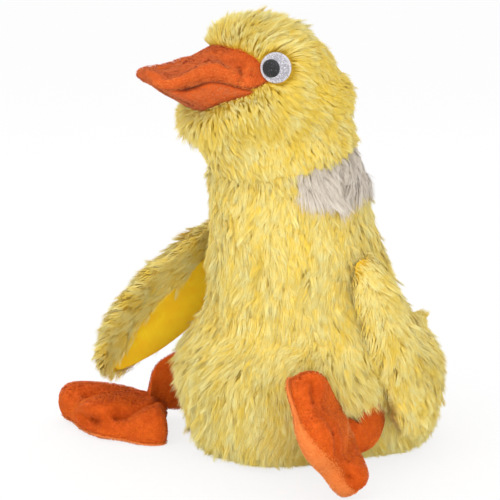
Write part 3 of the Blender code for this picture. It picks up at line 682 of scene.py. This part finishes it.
def at_the_lip(roots):
    """One on the rolled edge of the bill, nought on its middle."""
    own = seen_from(head_frame, roots)
    half = BILL_HALF_WIDTH * np.interp(-own[:, 1] / BILL_REACH, HALF_WIDTHS[:, 0], HALF_WIDTHS[:, 1])
    return ramp(np.abs(own[:, 0]) / half, 0.84, 0.12)


press(head_cloth, head_frame, BACK_HOLLOW)
upper_bill = soft_loft(
    "upper_bill_cloth", bill_rings(UPPER_BILL_SHARES, upper_ring), head_frame, bill_velour, "head",
    levels=3
)
press(upper_bill, head_frame, BILL_FOLDS)
lower_bill = soft_loft(
    "lower_bill_cloth", bill_rings(LOWER_BILL_SHARES, lower_ring), head_frame, bill_velour, "head",
    levels=3
)
TO_THE_TIP = laid_in(head_frame, np.array([[0.0, -1.0, 0.0]]))
for cloth, node, nap_look in ((upper_bill, "upper_bill", bill_nap), (lower_bill, "lower_bill", chin_nap)):
    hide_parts(node)
    nap(
        node + "_nap", cloth, TO_THE_TIP, nap_look, "head",
        length=lambda roots: SHORT_HAIR * (1 + 0.5 * at_the_lip(roots)),
        # Paler tips on the bill's rolled lip are a painted highlight.
        shade=lambda roots: 0.15 - 0.5 * at_the_lip(roots),
    )


# Eyes
# Each eye is embroidered on a round pad: white thread in close rows, a thin raised rim of the
# same thread, and a black pupil sewn over it towards the bill.

EYE_SIDE = 41.3 * MM
EYE_FORWARD = 14.2 * MM
EYE_HEIGHT = 69.2 * MM
EYE_YAW = math.radians(74)
EYE_PITCH = math.radians(20)
EYE_FLOOR = -5.2 * MM  # from the pile's tips down to the bed of the embroidery
EYE_RADIUS = 8.4 * MM
PUPIL_RADIUS = 5.9 * MM
PUPIL_SHIFT = 2.7 * MM
RIM_RADIUS = 8.8 * MM
RIM_THICK = 0.9 * MM
PAD_DEEP = 9 * MM
THREAD_WHITE = (0.40, 0.38, 0.43, 1.0)
THREAD_BRIGHT = (0.78, 0.76, 0.80, 1.0)
THREAD_BLACK = (0.006, 0.006, 0.008, 1.0)
THREAD_GREY = (0.24, 0.24, 0.27, 1.0)


def eye_frame(side):
    """The bed of an eye's embroidery, looking along its own Z."""
    surface = Matrix.Translation((side * EYE_SIDE, -EYE_FORWARD, EYE_HEIGHT))
    look = Matrix.Rotation(side * EYE_YAW, 4, "Z") @ Matrix.Rotation(math.pi / 2 - EYE_PITCH, 4, "X")
    return head_frame @ surface @ look @ Matrix.Translation((0.0, 0.0, EYE_FLOOR))


def thread_finish(name, plain, fleck, share, scale):
    """Rows of embroidery thread, with a fleck of another colour in them."""
    finish = Finish(name, Roughness=0.5, Specular_IOR_Level=0.4, Sheen_Weight=0.2)
    rows = finish.bands("DIAGONAL", scale, Distortion=2.5, Detail=2.0, Detail_Scale=2.0)
    flecks = finish.between(finish.noise(0.75 * MM, 1.0), share, share + 0.12)
    finish.colour(finish.mix(flecks, plain, fleck))
    finish.relief(rows + finish.noise(0.9 * MM), 0.22 * MM)
    return finish.material


def turned_pad(name, profile, matrix, around=48):
    """A round pad or ring: a profile of radius and height turned about the eye's axis."""
    shape = bmesh.new()
    rings = []
    for radius, height in profile:
        ring = []
        for step in range(around):
            turn = 2 * math.pi * step / around
            point = Vector((radius * math.cos(turn), radius * math.sin(turn), height))
            ring.append(shape.verts.new(matrix @ point))
        rings.append(ring)
    join_rings(shape, rings)
    if profile[-1][0] > 0:
        shape.faces.new(rings[-1])
    mesh = mesh_of(shape, name)
    mesh.shade_smooth()
    return mesh


def arc(centre, half_width, height, turns, count):
    """A curve of a profile, from one turn about its centre to another."""
    out, up = centre
    return [(out + half_width * math.cos(turn), up + height * math.sin(turn))
            for turn in np.linspace(*turns, count)]


def sewn(name, profile, bed, finish):
    """A piece of embroidery on its bed."""
    return placed(name, turned_pad(name, profile, bed), finish, "head")


white_thread = thread_finish("white_thread", THREAD_WHITE, THREAD_BRIGHT, 0.50, 700.0)
rim_thread = thread_finish("rim_thread", THREAD_BRIGHT, THREAD_WHITE, 0.50, 900.0)
black_thread = thread_finish("black_thread", THREAD_BLACK, THREAD_GREY, 0.66, 800.0)
for side, name in ((1, "left"), (-1, "right")):
    bed = eye_frame(side)
    dome = [(EYE_RADIUS + 1.0 * MM, -PAD_DEEP), (EYE_RADIUS + 0.8 * MM, 0.0)]
    dome += arc((0.4 * MM, 1.2 * MM), EYE_RADIUS, 2.4 * MM, (0.0, math.pi / 2 - 0.06), 9)
    eye = sewn(name + "_eye_white", dome, bed, white_thread)
    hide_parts(name + "_eye_patch")
    hoop = arc((RIM_RADIUS, 1.6 * MM), RIM_THICK, RIM_THICK, (-0.4, 2 * math.pi - 0.4), 13)
    rim = sewn(name + "_eye_rim_thread", hoop, bed, rim_thread)
    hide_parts(name + "_eye_rim")
    ahead = bed @ Matrix.Translation((-side * PUPIL_SHIFT, 0.0, 2.0 * MM))
    cushion = [(PUPIL_RADIUS, 0.0)]
    cushion += arc((0.0, 0.5 * MM), PUPIL_RADIUS, 1.9 * MM, (0.0, math.pi / 2 - 0.08), 7)
    pupil = sewn(name + "_pupil_thread", cushion, ahead, black_thread)
    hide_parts(name + "_pupil")


# Head pile
# The head's pile is shorter than the body's and lies away from the bill and the eyes. A tuft
# over the forehead falls forward on the bill's root.

HEAD_HAIRS = 3.0
HEAD_PILE_LENGTH = 13.5 * MM
CROWN_PILE_LENGTH = 12 * MM
TUFT_LENGTH = 21 * MM
BILL_ROOT = np.array([0.0, -58.0, 62.0]) * MM
EYE_ROOM = 9.4 * MM
EYE_TO_BILL = 2 * MM  # little pile grows between the eye and the bill
SOLID_REACH = 14 * MM  # a point further off than this is outside any part of the bill
UPRIGHT_REACH = 7 * MM  # pile this near the bill stands up against it


def solid_tree(pieces):
    """The surfaces of finished pieces, to tell what lies inside them."""
    shape = bmesh.new()
    for piece in pieces:
        shape.from_mesh(piece.data)
    tree = BVHTree.FromBMesh(shape)
    shape.free()
    return tree


def depth_outside(tree, points):
    """How far points lie outside a solid, below nought within it."""
    away = []
    for point in points:
        place, facing, _, distance = tree.find_nearest(point)
        within = distance < SOLID_REACH and (Vector(point) - place).dot(facing) < 0.0
        away.append(-distance if within else distance)
    return np.array(away)


roots, normals = plant(head_cloth.data, HEAD_HAIRS)
in_head = seen_from(head_frame, roots)
off_bill = depth_outside(solid_tree([upper_bill, lower_bill]), roots)
in_mouth = (np.abs(in_head[:, 2] - MOUTH_HEIGHT - 1 * MM) < 3 * MM) & (np.abs(in_head[:, 0]) < 33 * MM)
wanted = (in_head[:, 2] > -2 * MM) & (off_bill > np.where(in_mouth, 2.0 * MM, 0.0))
for side in (1, -1):
    in_eye = seen_from(eye_frame(side), roots)
    off_axis = np.hypot(in_eye[:, 0], in_eye[:, 1])
    room = EYE_ROOM + EYE_TO_BILL * np.clip(-side * in_eye[:, 0] / off_axis, 0, 1)
    wanted &= ~((off_axis < room) & (np.abs(in_eye[:, 2]) < 20 * MM))
roots, normals, in_head, off_bill = roots[wanted], normals[wanted], in_head[wanted], off_bill[wanted]
from_bill = in_head - BILL_ROOT
back = unit(from_bill) * np.array([[1.0, 1.0, 0.6]])
low = ramp(in_head[:, 2], 66 * MM, -40 * MM)[:, None]
way = back + np.array([[0.0, 0.0, -1.0]]) * (0.25 + 1.1 * low)
crown = ramp(in_head[:, 2], 78 * MM, 16 * MM)[:, None]
tuft = (hill(in_head[:, 1] + 42 * MM, 15 * MM) * hill(in_head[:, 0], 20 * MM))[:, None] * crown
way = way * (1 - tuft) + np.array([[0.0, -1.0, 0.15]]) * tuft * 1.6
for side in (1, -1):
    away = in_head - np.array([side * EYE_SIDE, -EYE_FORWARD, EYE_HEIGHT])
    near = hill(np.linalg.norm(away, axis=1), 20 * MM)[:, None]
    way += unit(away) * near * 1.6
comb = combed(roots, normals, laid_in(head_frame, way), 0.32, 34 * MM)
length = HEAD_PILE_LENGTH + (CROWN_PILE_LENGTH - HEAD_PILE_LENGTH) * crown[:, 0]
length = length + (TUFT_LENGTH - length) * np.clip(tuft[:, 0] * 1.3, 0, 1)
lean = 0.92 - 0.22 * crown[:, 0] * (1 - tuft[:, 0]) + 0.14 * drift(roots, 26 * MM)
slept_on = ramp(in_head[:, 2], 34 * MM, 10 * MM) * ramp(in_head[:, 2], 78 * MM, -12 * MM)
slept_on *= ramp(in_head[:, 1], -6 * MM, 20 * MM)
throat = ramp(in_head[:, 2], 36 * MM, -10 * MM)
lean += 0.34 * slept_on + 0.28 * throat
length *= 1 - 0.3 * slept_on - 0.24 * throat
upright = np.clip(1 - off_bill / UPRIGHT_REACH, 0, 1) * (1 - tuft[:, 0])
lean *= 1 - 0.75 * upright
length *= 1 - 0.45 * upright
cheek = hill(np.hypot(np.abs(in_head[:, 0]) - 30 * MM, in_head[:, 2] - 36 * MM), 22 * MM)
lean -= 0.2 * cheek
# The deeper tips round the cheeks, under the bill, are painted shade from the bill above them.
shade = 0.2 * drift(roots, 16 * MM) + 0.22 * cheek + 0.16 * slept_on
half = (in_head[:, 0] > 0).astype(int)
pile("head_pile", roots, normals, comb, length, lean, lemon_pile, "head", gather=0.3,
     locks=13, share_out=half, shade=shade, proud_share=0.14)


# Wings
# Each wing is a thin stuffed pad, lemon pile outside and smooth golden cloth inside. The
# pile wraps round the edge and shows as a border of locks round the lining.

WING_LENGTH = 137 * MM
WING_HALF_WIDTH = 31 * MM
WING_THICKNESS = 15 * MM
WING_CUP = 3 * MM
WING_BORDER = 9 * MM
WING_DRAWN_IN = 4.5 * MM  # from the outline of the pile to the edge of the cloth
WING_PILE_LENGTH = 14 * MM
WING_HAIRS = 2.8
WING_RING_SHARES = (
    (0.00, 0.66, 0.60, 0.00),
    (0.05, 0.78, 0.92, 0.00),
    (0.18, 0.88, 0.94, 0.15),
    (0.36, 0.99, 1.00, 0.65),
    (0.56, 1.00, 1.00, 1.00),
    (0.76, 0.84, 0.92, 0.85),
    (0.91, 0.54, 0.75, 0.40),
    (0.99, 0.24, 0.45, 0.00),
)
WING_ACROSS_SHARES = (-1.0, -0.6, 0.0, 0.6, 1.0)
GOLD_LIT = (1.0, 0.74, 0.018, 1.0)
GOLD_DEEP = (0.98, 0.60, 0.010, 1.0)


def lining_finish():
    """Smooth knitted cloth with fine ribs."""
    finish = Finish("gold_lining", Roughness=0.6, Specular_IOR_Level=0.3, Sheen_Weight=0.15)
    ribs = finish.bands("X", 320.0, Distortion=1.5, Detail=1.0)
    patches = finish.between(finish.noise(14 * MM), 0.3, 0.7)
    finish.colour(finish.mix(patches * 0.8 + ribs * 0.08, GOLD_DEEP, GOLD_LIT))
    finish.relief(ribs + finish.noise(1.0 * MM), 0.05 * MM)
    return finish.material


def wing_rows(inner, outer, border, bow, lead, spread, long_share):
    """Rings of points down a wing, between two layers of its thickness. spread is how far its
    low edge reaches and its high edge does at the top and at the tip, as shares of the plain
    width."""
    rings = []
    for down, half_share, thick, bowed in WING_RING_SHARES:
        width = max(WING_HALF_WIDTH * half_share - border, border / 2)
        fall = min(WING_LENGTH * down, WING_LENGTH - border)
        ring = []
        for layer, places in ((outer, WING_ACROSS_SHARES), (inner, WING_ACROSS_SHARES[::-1])):
            for across in places:
                curl = WING_CUP * across * across * half_share
                thin = 1.0 - 0.55 * across * across
                out = bow * bowed + WING_THICKNESS * thick * layer * thin - curl
                high_spread = spread[1] + (spread[2] - spread[1]) * down
                reach = width * across * (spread[0] if across < 0 else high_spread)
                ring.append((reach + lead * WING_HALF_WIDTH * 0.25 * down * down, out, -fall * long_share))
        rings.append(ring)
    return rings


# Soft folds in the lining, in millimetres of the wing's frame, with their widths and depths
LINING_FOLDS = (
    (((-2, 4, -26), (-6, 5, -58), (-10, 6, -80)), 5 * MM, 1.6 * MM),
    (((12, 4, -40), (6, 5, -70), (-2, 6, -98)), 6 * MM, 1.2 * MM),
)
gold_lining = lining_finish()
# Which way each wing falls and its seam runs, how far it bows out, its share of the length,
# how far its edges spread, the same for its lining, and whether the lining takes up the edge
WINGS = (
    ("left", 1, (0.201, 0.277, -0.940), (0.0, -1.0, 0.0), 8 * MM, 0.9, (0.25, 0.5, 1.0),
     (0.2, 0.5, 1.0), 0.0),
    ("right", -1, (-0.370, -0.500, -0.772), (0.0, -0.8, 0.6), 8 * MM, 0.96, (0.93, 0.9, 1.14),
     (0.12, 1.62, 1.62), 1.0),
)
for name, side, fall_way, seam_way, bow, long_share, spread, lining_spread, bare_edge in WINGS:
    down = Vector(fall_way).normalized()
    along = Vector(seam_way)
    along = (along - down * along.dot(down)).normalized() * side
    wing_frame = Matrix((along, (-down).cross(along), -down)).transposed().to_4x4()
    wing_frame = Matrix.Translation((side * 62 * MM, -16 * MM, 137 * MM)) @ wing_frame
    rows = wing_rows(0.12, 0.5, WING_DRAWN_IN, bow, side, spread, long_share)
    cloth = soft_loft(name + "_wing_cloth", rows, wing_frame, lemon_backing, name + "_wing")
    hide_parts(name + "_wing_fur")
    roots, normals = plant(cloth.data, WING_HAIRS)
    in_wing = seen_from(wing_frame, roots)
    facing = seen_from(wing_frame, roots + normals) - in_wing
    down_share = -in_wing[:, 2] / (WING_LENGTH * long_share)
    shares = np.array(WING_RING_SHARES)
    half_here = WING_HALF_WIDTH * np.interp(down_share, shares[:, 0], shares[:, 1])
    from_middle = in_wing[:, 0] - side * WING_HALF_WIDTH * 0.25 * down_share**2
    lined = half_here - WING_BORDER - 1 * MM
    inside = (from_middle > -lined * lining_spread[0]) & (from_middle < lined * lining_spread[1])
    over_lining = (facing[:, 1] < -0.2 + 0.5 * bare_edge * (from_middle > 8 * MM)) & inside
    over_lining &= down_share < 0.92 + 0.05 * bare_edge * (from_middle > 0)
    roots, normals, from_middle, half_here, facing, down_share = (
        rows[~over_lining] for rows in (roots, normals, from_middle, half_here, facing, down_share)
    )
    edge = np.clip(from_middle / half_here, -1.2, 1.2)
    edge = np.where(edge > 0, edge * (1 - 1.7 * bare_edge), edge)
    sweep = 1.4 * edge * np.abs(edge) - 0.7 * bare_edge * (facing[:, 1] < 0) * (1 - down_share)
    shoulder = ramp(down_share, 0.1, -0.08)
    way = np.column_stack([sweep, 0.9 * shoulder, -np.ones(len(edge))])
    comb = combed(roots, normals, laid_in(wing_frame, way), 0.3, 30 * MM)
    length = WING_PILE_LENGTH * (1 - 0.3 * ramp(down_share, 0.75, 0.2) - 0.3 * shoulder)
    lean = 1.05 + 0.2 * shoulder + 0.12 * drift(roots, 25 * MM)
    pile(name + "_wing_pile", roots, normals, comb, length, lean, lemon_pile, name + "_wing",
         share_out=(facing[:, 1] < 0).astype(int), shade=0.2 * drift(roots, 16 * MM) - 0.1 * shoulder)
    rows = wing_rows(-0.10, 0.14, WING_BORDER, bow, side, lining_spread, long_share)
    lining = soft_loft(
        name + "_wing_lining_cloth", rows, wing_frame, gold_lining, name + "_wing"
    )
    press(lining, wing_frame, LINING_FOLDS)
    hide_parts(name + "_wing_lining")


# Legs
# Soft flat straps of orange velour, lightly stuffed, run from the hip seams to the heels.

STRAP_HALF_THICKNESS = 4.5 * MM
STRAP_SIDES = 10
SHORT_TIP = (1.0, 0.215, 0.018, 1.0)
SHORT_TIP_DEEP = (0.74, 0.115, 0.005, 1.0)
# Along each strap: places and half the width in millimetres, and the way its thickness faces
STRAPS = {
    "left": (
        ((60, 0, 54), 14, (1.0, 0.2, 0.0)),
        ((73, -12, 46), 13, (1.0, 0.2, 0.0)),
        ((79, -24, 33), 13, (1.0, -0.1, 0.0)),
        ((82, -36, 26), 11.5, (0.9, -0.5, 0.0)),
        ((81, -46, 27), 11.5, (0.6, -0.7, 0.2)),
        ((76, -52, 38), 12, (0.817, 0.345, 0.460)),
    ),
    "right": (
        ((-66, 4, 40), 20, (-0.7, 0.7, 0.0)),
        ((-83, -13, 34), 23, (-0.6, 0.75, 0.0)),
        ((-95, -31, 27), 22, (-0.5, 0.8, 0.1)),
        ((-102, -44, 22), 21, (-0.4, 0.8, 0.3)),
        ((-106, -57, 14), 14, (0.0, 0.2, 1.0)),
    ),
}
orange_nap = pile_finish("orange_nap", ORANGE_DEEP, SHORT_TIP, SHORT_TIP_DEEP, ORANGE_SHEEN, bloom=0.08)


def strap_rings(spine):
    """Flat oval rings along a strap."""
    places = [Vector(place) * MM for place, half_width, thin in spine]
    rings = []
    for i, (place, (_, half_width, thin)) in enumerate(zip(places, spine)):
        ahead = (places[min(i + 1, len(places) - 1)] - places[max(i - 1, 0)]).normalized()
        flat = Vector(thin)
        flat = (flat - ahead * flat.dot(ahead)).normalized()
        wide = ahead.cross(flat)
        ring = []
        for step in range(STRAP_SIDES):
            turn = 2 * math.pi * (step + 0.5) / STRAP_SIDES
            ring.append(place + wide * half_width * MM * math.cos(turn)
                        + flat * STRAP_HALF_THICKNESS * math.sin(turn))
        rings.append(ring)
    return rings


for name, spine in STRAPS.items():
    strap = soft_loft(
        name + "_leg_strap", strap_rings(spine), Matrix(), orange_velour, name + "_leg",
        levels=3
    )
    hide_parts(name + "_leg")
    nap(name + "_leg_nap", strap, DOWN, orange_nap, name + "_leg")


# Feet
# Each foot is stuffed between an upper panel, with three toes between sewn channels, and a
# paler sole panel that wraps up to the seam round its edge.

FOOT_THICKNESS = 26 * MM
FOOT_REACH = 53 * MM  # ankle to the tip of the middle toe
FOOT_FAN = math.radians(54)  # from the middle toe to each outer toe
HEEL_RADIUS = 15 * MM
CHANNEL_DEPTH = 9 * MM
CREASE_SHADE = 6 * MM
SOLE_LAP = 6 * MM  # the higher the seam stands, the further the sole's edge laps over the upper's
SOLE_LIT = (0.96, 0.300, 0.070, 1.0)
SOLE_DEEP = (0.84, 0.200, 0.035, 1.0)
SOLE_TIP = (0.98, 0.340, 0.090, 1.0)
SOLE_TIP_DEEP = (0.90, 0.250, 0.055, 1.0)
# From heel to toes: how far out, how thick the left foot is there and the right, which has
# kept more of its stuffing, and how deep the channels are
FOOT_RING_SHARES = (
    (-1.00, 0.26, 0.46, 0.0),
    (-0.50, 0.34, 0.66, 0.0),
    (0.00, 0.44, 0.86, 0.1),
    (0.30, 0.60, 0.98, 0.5),
    (0.60, 0.78, 1.00, 1.0),
    (0.85, 0.84, 0.94, 1.0),
    (1.00, 0.62, 0.68, 0.8),
)
# Across the foot: the share of the seam's height
SEAM_SHARES = ((-1.0, 0.1), (-0.5, 0.25), (0.1, 1.2), (0.6, 1.2), (1.0, 0.9))
# Across the foot: the place in the fan, how far it puffs up, and how far it reaches
TOE_SHARES = (
    (-1.13, 0.55, 0.93),
    (-1.00, 1.00, 1.00),
    (-0.76, 0.86, 1.00),
    (-0.50, 0.00, 0.88),
    (-0.26, 0.86, 1.00),
    (0.00, 1.00, 1.03),
    (0.26, 0.86, 1.00),
    (0.50, 0.00, 0.88),
    (0.76, 0.86, 1.00),
    (1.00, 1.00, 1.00),
    (1.13, 0.55, 0.93),
)
# Each foot's ankle in millimetres, where its toes point, where its upper side faces, the
# sole panel's share of the thickness, how much its outer toes have drawn in, how far its
# toes lift, and the creases in the pile, in millimetres of the foot's own frame, with their
# widths and depths
FEET = {
    "left": (
        (83, -53, 42.4), (0.382, -0.923, 0.015), (0.817, 0.345, 0.460), 0.5, 0.06, 0.0,
        (
            (((-34, -30, 16), (-18, -37, 19), (-6, -38, 23), (4, -40, 23), (14, -43, 20), (25, -38, 17),
              (34, -30, 14)), 3.4 * MM, 7.0 * MM),
        ),
    ),
    "right": (
        (-105, -57, 13), (0.05, -0.99, 0.0), (0.0, 0.0, 1.0), 0.1, -0.17, 2.5 * MM,
        (
            (((11, 7, 17), (22, -8, 21), (27, -23, 23), (21, -35, 19), (11, -48, 15), (0, -54, 11),
              (-12, -54, 11)), 4.2 * MM, 12.0 * MM),
            (((8, -2, 24), (0, -14, 26), (-7, -29, 24), (-20, -32, 21), (-30, -32, 20)), 3.2 * MM, 5.0 * MM),
        ),
    ),
}


def foot_rings(thick, highest, lowest, drawn, lift, lap):
    """Rings from the round heel to the toes, no higher or lower than two shares of the
    thickness, with their outline moved out by a lap. thick is the column of thicknesses."""
    seam_places, seam_heights = np.array(SEAM_SHARES).T
    rings = []
    for row in FOOT_RING_SHARES:
        out, height, channel = row[0], row[thick], row[3]
        top, under = [], []
        for place, puff, toe_reach in TOE_SHARES:
            angle = FOOT_FAN * place
            heel = (HEEL_RADIUS + lap) * place / TOE_SHARES[-1][0]
            if out < 0.0:
                across = heel * (1.0 + out / 2)
                ahead = (HEEL_RADIUS + lap) * out
            else:
                reach = (FOOT_REACH + lap) * toe_reach * (1 - drawn * abs(place))
                across = heel + (reach * math.sin(angle) - heel) * out
                ahead = reach * math.cos(angle) * out
            level = FOOT_THICKNESS * height - CHANNEL_DEPTH * channel * (1.0 - puff)
            seam = highest * (np.interp(place, seam_places, seam_heights) if highest < 1 else 1)
            raised = lift * max(out, 0.0) ** 2 * max(1.0 - place, 0.0)
            top.append((across, -ahead, min(level, FOOT_THICKNESS * seam) + raised))
            under.append((across, -ahead, FOOT_THICKNESS * lowest + raised))
        rings.append(top + under[::-1])
    return rings


def in_creases(own, creases):
    """One in the bottom of a crease, where the pile's tips are painted deeper as shade, nought away."""
    off = np.min([off_line(own, np.array(line) * MM) for line, _, _ in creases], axis=0)
    return hill(off, CREASE_SHADE)


sole_velour = velour_finish("sole_velour", SOLE_LIT, SOLE_DEEP)
sole_nap = pile_finish("sole_nap", SOLE_DEEP, SOLE_TIP, SOLE_TIP_DEEP, ORANGE_SHEEN)
for thick, (name, (ankle, toes, top, seam_share, drawn, lift, creases)) in enumerate(FEET.items(), 1):
    ahead = Vector(toes).normalized()
    upper = Vector(top)
    upper = (upper - ahead * upper.dot(ahead)).normalized()
    foot_frame = Matrix((upper.cross(ahead), -ahead, upper)).transposed().to_4x4()
    foot_frame = Matrix.Translation(Vector(ankle) * MM - upper * FOOT_THICKNESS / 2) @ foot_frame
    lap = SOLE_LAP * (seam_share - 0.3)
    for panel, rings, cloth_finish, nap_look in (
        ("foot_upper", foot_rings(thick, 1.2, 0.04, drawn, lift, 0.0), orange_velour, orange_nap),
        ("foot_sole", foot_rings(thick, seam_share, 0.0, drawn, lift, lap), sole_velour, sole_nap),
    ):
        cloth = soft_loft(
            f"{name}_{panel}_cloth", rings, foot_frame, cloth_finish, name + "_foot"
        )
        press(cloth, foot_frame, creases)
        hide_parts(f"{name}_{panel}")
        nap(
            f"{name}_{panel}_nap", cloth, DOWN, nap_look, name + "_foot",
            # Deeper tips in the creases are painted shade.
            shade=lambda roots: 0.9 * in_creases(seen_from(foot_frame, roots), creases),
        )


# Pellet pouch
# A woven bag of pellets weighs the seat down. It is shut inside the body.

pouch_cloth = Finish("pouch_cloth", Roughness=0.9)
weave = pouch_cloth.bands("Z", 300.0)
pouch_cloth.colour(pouch_cloth.mix(weave, (0.80, 0.78, 0.72, 1.0), (0.66, 0.63, 0.57, 1.0)))
pouch_cloth.relief(weave, 0.2 * MM)
dress(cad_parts["pellet_pouch"].data, pouch_cloth.material)


# Studio
# A plain white floor under a white world, soft light from the upper left,
# and the camera at the photograph's angle.

AIM = Vector((-47.143, -9.426, 125.473)) * MM
AZIMUTH = math.radians(45)
ELEVATION = math.radians(12)
DISTANCE = 1.2
FLOOR_HALF = 6
SENSOR_WIDTH = 36  # millimetres
FOCAL_SHARE = 1740 / 500  # the focal length as a share of the picture's width


def towards(azimuth, elevation):
    """The direction from the duck to someone who looks at it from an angle."""
    flat = math.cos(elevation)
    return Vector((math.sin(azimuth) * flat, -math.cos(azimuth) * flat, math.sin(elevation)))


def aimed(thing, place, target):
    """Put a lamp or a camera in its place and turn it to what it lights or sees."""
    bpy.context.scene.collection.objects.link(thing)
    thing.location = place
    thing.rotation_euler = (Vector(target) - Vector(place)).to_track_quat("-Z", "Y").to_euler()
    return thing


def lamp(name, azimuth, elevation, distance, size, watts):
    """A soft square lamp that shines on the duck's middle."""
    light = bpy.data.lights.new(name, "AREA")
    light.energy = watts
    light.size = size
    middle = Vector((0.0, 0.0, 130 * MM))
    place = middle + towards(math.radians(azimuth), math.radians(elevation)) * distance
    return aimed(bpy.data.objects.new(name, light), place, middle)


floor_mesh = bpy.data.meshes.new("floor")
around = ((-1, -1), (1, -1), (1, 1), (-1, 1))
corners = [(across * FLOOR_HALF, along * FLOOR_HALF, 0) for across, along in around]
floor_mesh.from_pydata(corners, [], [(0, 1, 2, 3)])
floor = bpy.data.objects.new("floor", floor_mesh)
bpy.context.scene.collection.objects.link(floor)
paper = Finish("floor_paper", Roughness=0.9, Base_Color=(0.9, 0.9, 0.9, 1.0))
glow = paper.tree.nodes.new("ShaderNodeEmission")
path = paper.tree.nodes.new("ShaderNodeLightPath")
blend = paper.tree.nodes.new("ShaderNodeMixShader")
share = Wire(paper, path.outputs["Is Camera Ray"]) * 0.8
paper.feed(blend.inputs[0], share)
paper.tree.links.new(paper.shader.outputs[0], blend.inputs[1])
paper.tree.links.new(glow.outputs[0], blend.inputs[2])
paper.tree.links.new(blend.outputs[0], paper.tree.nodes["Material Output"].inputs["Surface"])
floor_mesh.materials.append(paper.material)

world = bpy.data.worlds.new("studio")
bpy.context.scene.world = world
world.use_nodes = True
sky = world.node_tree.nodes["Background"]
sky.inputs["Color"].default_value = (1.0, 1.0, 1.0, 1.0)
sky.inputs["Strength"].default_value = 1.0

lamp("key", 6, 40, 1.3, 0.9, 3.9)
lamp("fill", 50, 0, 1.5, 1.0, 9.5)
lamp("back", 225, 45, 1.5, 0.9, 2)

camera_data = bpy.data.cameras.new("camera")
camera_data.sensor_width = SENSOR_WIDTH
camera_data.lens = SENSOR_WIDTH * FOCAL_SHARE
camera_data.clip_end = 50
camera = bpy.data.objects.new("camera", camera_data)
aimed(camera, AIM + towards(AZIMUTH, ELEVATION) * DISTANCE, AIM)
bpy.context.scene.camera = camera
bpy.context.scene.view_settings.view_transform = "Standard"
